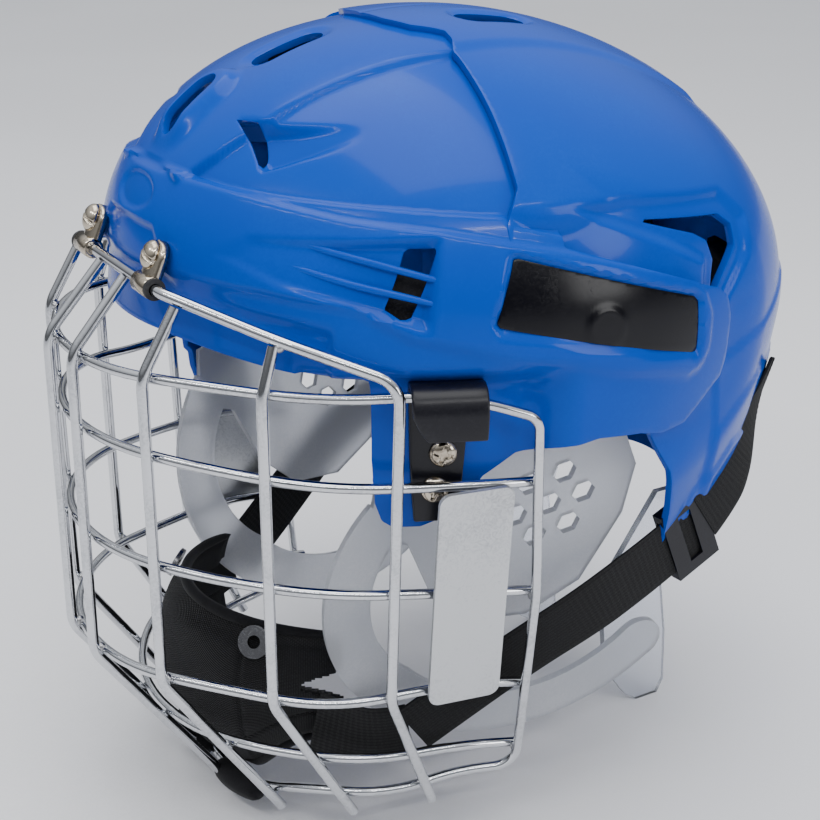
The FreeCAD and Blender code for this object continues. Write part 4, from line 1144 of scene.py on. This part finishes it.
def smooth_copy(node_name, material):
    """A merged copy of a frame node, shaded smooth except along its real creases."""
    mesh = bmesh.new()
    mesh.from_mesh(nodes[node_name].data)
    bmesh.ops.remove_doubles(mesh, verts=mesh.verts, dist=0.01 * MM)
    bmesh.ops.dissolve_limit(mesh, angle_limit=math.radians(0.5), verts=mesh.verts, edges=mesh.edges)
    for face in mesh.faces:
        face.smooth = True
    data = bpy.data.meshes.new(node_name + "_finished")
    mesh.to_mesh(data)
    mesh.free()
    data.set_sharp_from_angle(angle=CREASE)
    data.materials.clear()
    data.materials.append(material)
    piece = bpy.data.objects.new(node_name + "_finished", data)
    scene.collection.objects.link(piece)
    return piece


for node_name, node in nodes.items():
    for prefix, (material, finish_slot, body) in SMOOTHED.items():
        if node_name.startswith(prefix):
            copy = smooth_copy(node_name, material)
            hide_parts(node_name)
            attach(copy, body)
            break
    for prefix, material in KEPT_FINISH.items():
        if node_name.startswith(prefix):
            node.data.materials.clear()
            node.data.materials.append(material)
print("kept:", sum(not o.hide_render for o in nodes.values()))

# %% [markdown]
# ## Weld beads
# Every crossing of two wires is a resistance weld with a small squashed bead. The crossings are
# found from the wires themselves: where an upright's surface comes nearest to a cross wire.
# A Geometry Nodes tree puts one rough bead on each of those points.


# %% find the crossings and place the beads
BEAD_GAP, BEAD_SPREAD = 1.2 * MM, 8 * MM


def weld_points(first, second):
    """Middles of the places where two wires almost touch, in metres."""
    near = np.array([v.co[:] for v in nodes[first].data.vertices])
    other = np.array([v.co[:] for v in nodes[second].data.vertices])
    low, high = other.min(0) - 0.004, other.max(0) + 0.004
    near = near[np.all((near > low) & (near < high), axis=1)]
    found = []
    if len(near) == 0:
        return found
    gaps = np.empty(len(near))
    match = np.empty(len(near), int)
    for start in range(0, len(near), 400):
        block = np.linalg.norm(near[start:start + 400, None] - other[None], axis=2)
        match[start:start + 400] = block.argmin(1)
        gaps[start:start + 400] = block.min(1)
    order = np.argsort(gaps)
    for index in order:
        if gaps[index] > BEAD_GAP:
            break
        middle = (near[index] + other[match[index]]) / 2
        if all(np.linalg.norm(middle - f) > BEAD_SPREAD for f in found):
            found.append(middle)
    return found


uprights = [n for n in nodes if n.startswith("upright_")]
crosses = [n for n in nodes if n.startswith("cross_wire_")] + ["brow_wire", "rim_wire"]
spots = [p for u in uprights for c in crosses for p in weld_points(u, c)]
spots += [p for c in crosses[:-2] for w in ("brow_wire", "rim_wire") for p in weld_points(c, w)]
print("welds found:", len(spots))


def bead_tree():
    """Points in, one rough squashed bead on each out."""
    tree = bpy.data.node_groups.new("Weld Beads", "GeometryNodeTree")
    tree.interface.new_socket("Geometry", in_out="INPUT", socket_type="NodeSocketGeometry")
    tree.interface.new_socket("Bead Radius", in_out="INPUT", socket_type="NodeSocketFloat")
    tree.interface.new_socket("Seed", in_out="INPUT", socket_type="NodeSocketInt").default_value = 4
    tree.interface.new_socket("Finish", in_out="INPUT", socket_type="NodeSocketMaterial")
    tree.interface.new_socket("Geometry", in_out="OUTPUT", socket_type="NodeSocketGeometry")
    make, link = tree.nodes.new, tree.links.new
    given, result = make("NodeGroupInput"), make("NodeGroupOutput")
    ball = make("GeometryNodeMeshIcoSphere")
    ball.inputs["Subdivisions"].default_value = 3
    place = make("GeometryNodeInstanceOnPoints")
    turn = make("FunctionNodeRandomValue")
    turn.data_type = "FLOAT_VECTOR"
    turn.inputs["Max"].default_value = (math.tau, math.tau, math.tau)
    squash = make("FunctionNodeRandomValue")
    squash.data_type = "FLOAT_VECTOR"
    squash.inputs["Min"].default_value = (0.8, 0.75, 0.7)
    squash.inputs["Max"].default_value = (1.15, 1.05, 0.95)
    real, coat, smooth = (make(kind) for kind in (
        "GeometryNodeRealizeInstances", "GeometryNodeSetMaterial", "GeometryNodeSetShadeSmooth"))
    link(given.outputs["Geometry"], place.inputs["Points"])
    link(given.outputs["Bead Radius"], ball.inputs["Radius"])
    link(ball.outputs["Mesh"], place.inputs["Instance"])
    link(given.outputs["Seed"], turn.inputs["Seed"])
    link(given.outputs["Seed"], squash.inputs["Seed"])
    link(turn.outputs["Value"], place.inputs["Rotation"])
    link(squash.outputs["Value"], place.inputs["Scale"])
    link(place.outputs["Instances"], real.inputs["Geometry"])
    link(real.outputs["Geometry"], smooth.inputs["Geometry"])
    link(smooth.outputs["Geometry"], coat.inputs["Geometry"])
    link(given.outputs["Finish"], coat.inputs["Material"])
    link(coat.outputs["Geometry"], result.inputs["Geometry"])
    return tree


cloud = bpy.data.meshes.new("weld_beads")
cloud.from_pydata([tuple(p) for p in spots], [], [])
beads = bpy.data.objects.new("weld_beads", cloud)
scene.collection.objects.link(beads)
grow = beads.modifiers.new("beads", "NODES")
grow.node_group = bead_tree()
set_input(grow, "Bead Radius", 2.0 * MM)
set_input(grow, "Finish", WELD)
settle(beads)
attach(beads, "cage")

# %% [markdown]
# ## Light, floor and camera
# The helmet stands on a pale table in soft light: a broad lamp overhead, a second one beside and
# behind it, and two narrow strips that draw fine highlights on the gloss. The room is bright
# above and dark at the horizon, because plated wire only looks like metal when it has both to
# mirror.

# %% the stage
floor_mesh = bpy.data.meshes.new("floor")
floor_mesh.from_pydata([(-4, -4, 0), (4, -4, 0), (4, 4, 0), (-4, 4, 0)], [], [(0, 1, 2, 3)])
floor = bpy.data.objects.new("floor", floor_mesh)
scene.collection.objects.link(floor)
floor_mesh.materials.append(finish(
    "pale_table", (0.80, 0.80, 0.82), (0.83, 0.83, 0.85), 0.55, 0.65, 300.0, 0.05, 2.0))

world = bpy.data.worlds.new("soft_room")
scene.world = world
world.use_nodes = True
sky = world.node_tree
look = sky.nodes.new("ShaderNodeTexCoord")
height = sky.nodes.new("ShaderNodeSeparateXYZ")
rise = sky.nodes.new("ShaderNodeMapRange")
rise.inputs["From Min"].default_value, rise.inputs["From Max"].default_value = 0.12, 0.75
rise.inputs["To Min"].default_value, rise.inputs["To Max"].default_value = 0.16, 1.15
sky.links.new(look.outputs["Generated"], height.inputs["Vector"])
sky.links.new(height.outputs["Z"], rise.inputs["Value"])
sky.links.new(rise.outputs["Result"], sky.nodes["Background"].inputs["Strength"])
sky.nodes["Background"].inputs["Color"].default_value = (0.92, 0.95, 1.0, 1)


def soft_lamp(name, place, aim, size, power):
    """A rectangular area lamp of size (long, short) at place that faces aim."""
    data = bpy.data.lights.new(name, "AREA")
    data.energy = power
    data.shape = "RECTANGLE"
    data.size, data.size_y = size
    lamp = bpy.data.objects.new(name, data)
    scene.collection.objects.link(lamp)
    lamp.location = place
    lamp.rotation_euler = (Vector(aim) - Vector(place)).to_track_quat("-Z", "Y").to_euler()


soft_lamp("lamp_above", (0.0, 0.0, 1.6), (0, 0, 0.15), (1.6, 0.9), 16.0)
soft_lamp("strip_front", (0.3, -0.75, 1.0), (0, 0, 0.22), (0.9, 0.025), 3.2)
soft_lamp("strip_side", (0.95, -0.1, 0.95), (0, 0, 0.22), (0.9, 0.025), 3.2)
soft_lamp("lamp_side", (1.5, 0.75, 0.5), (0, 0, 0.17), (0.5, 0.5), 5.0)

camera_data = bpy.data.cameras.new("camera")
camera_data.lens = 65.84
camera = bpy.data.objects.new("camera", camera_data)
scene.collection.objects.link(camera)
camera.location = (0.4669, -0.2824, 0.3542)
camera.rotation_euler = (math.radians(68.274), 0, math.radians(59.287))
camera_data.clip_start = 0.01
scene.camera = camera
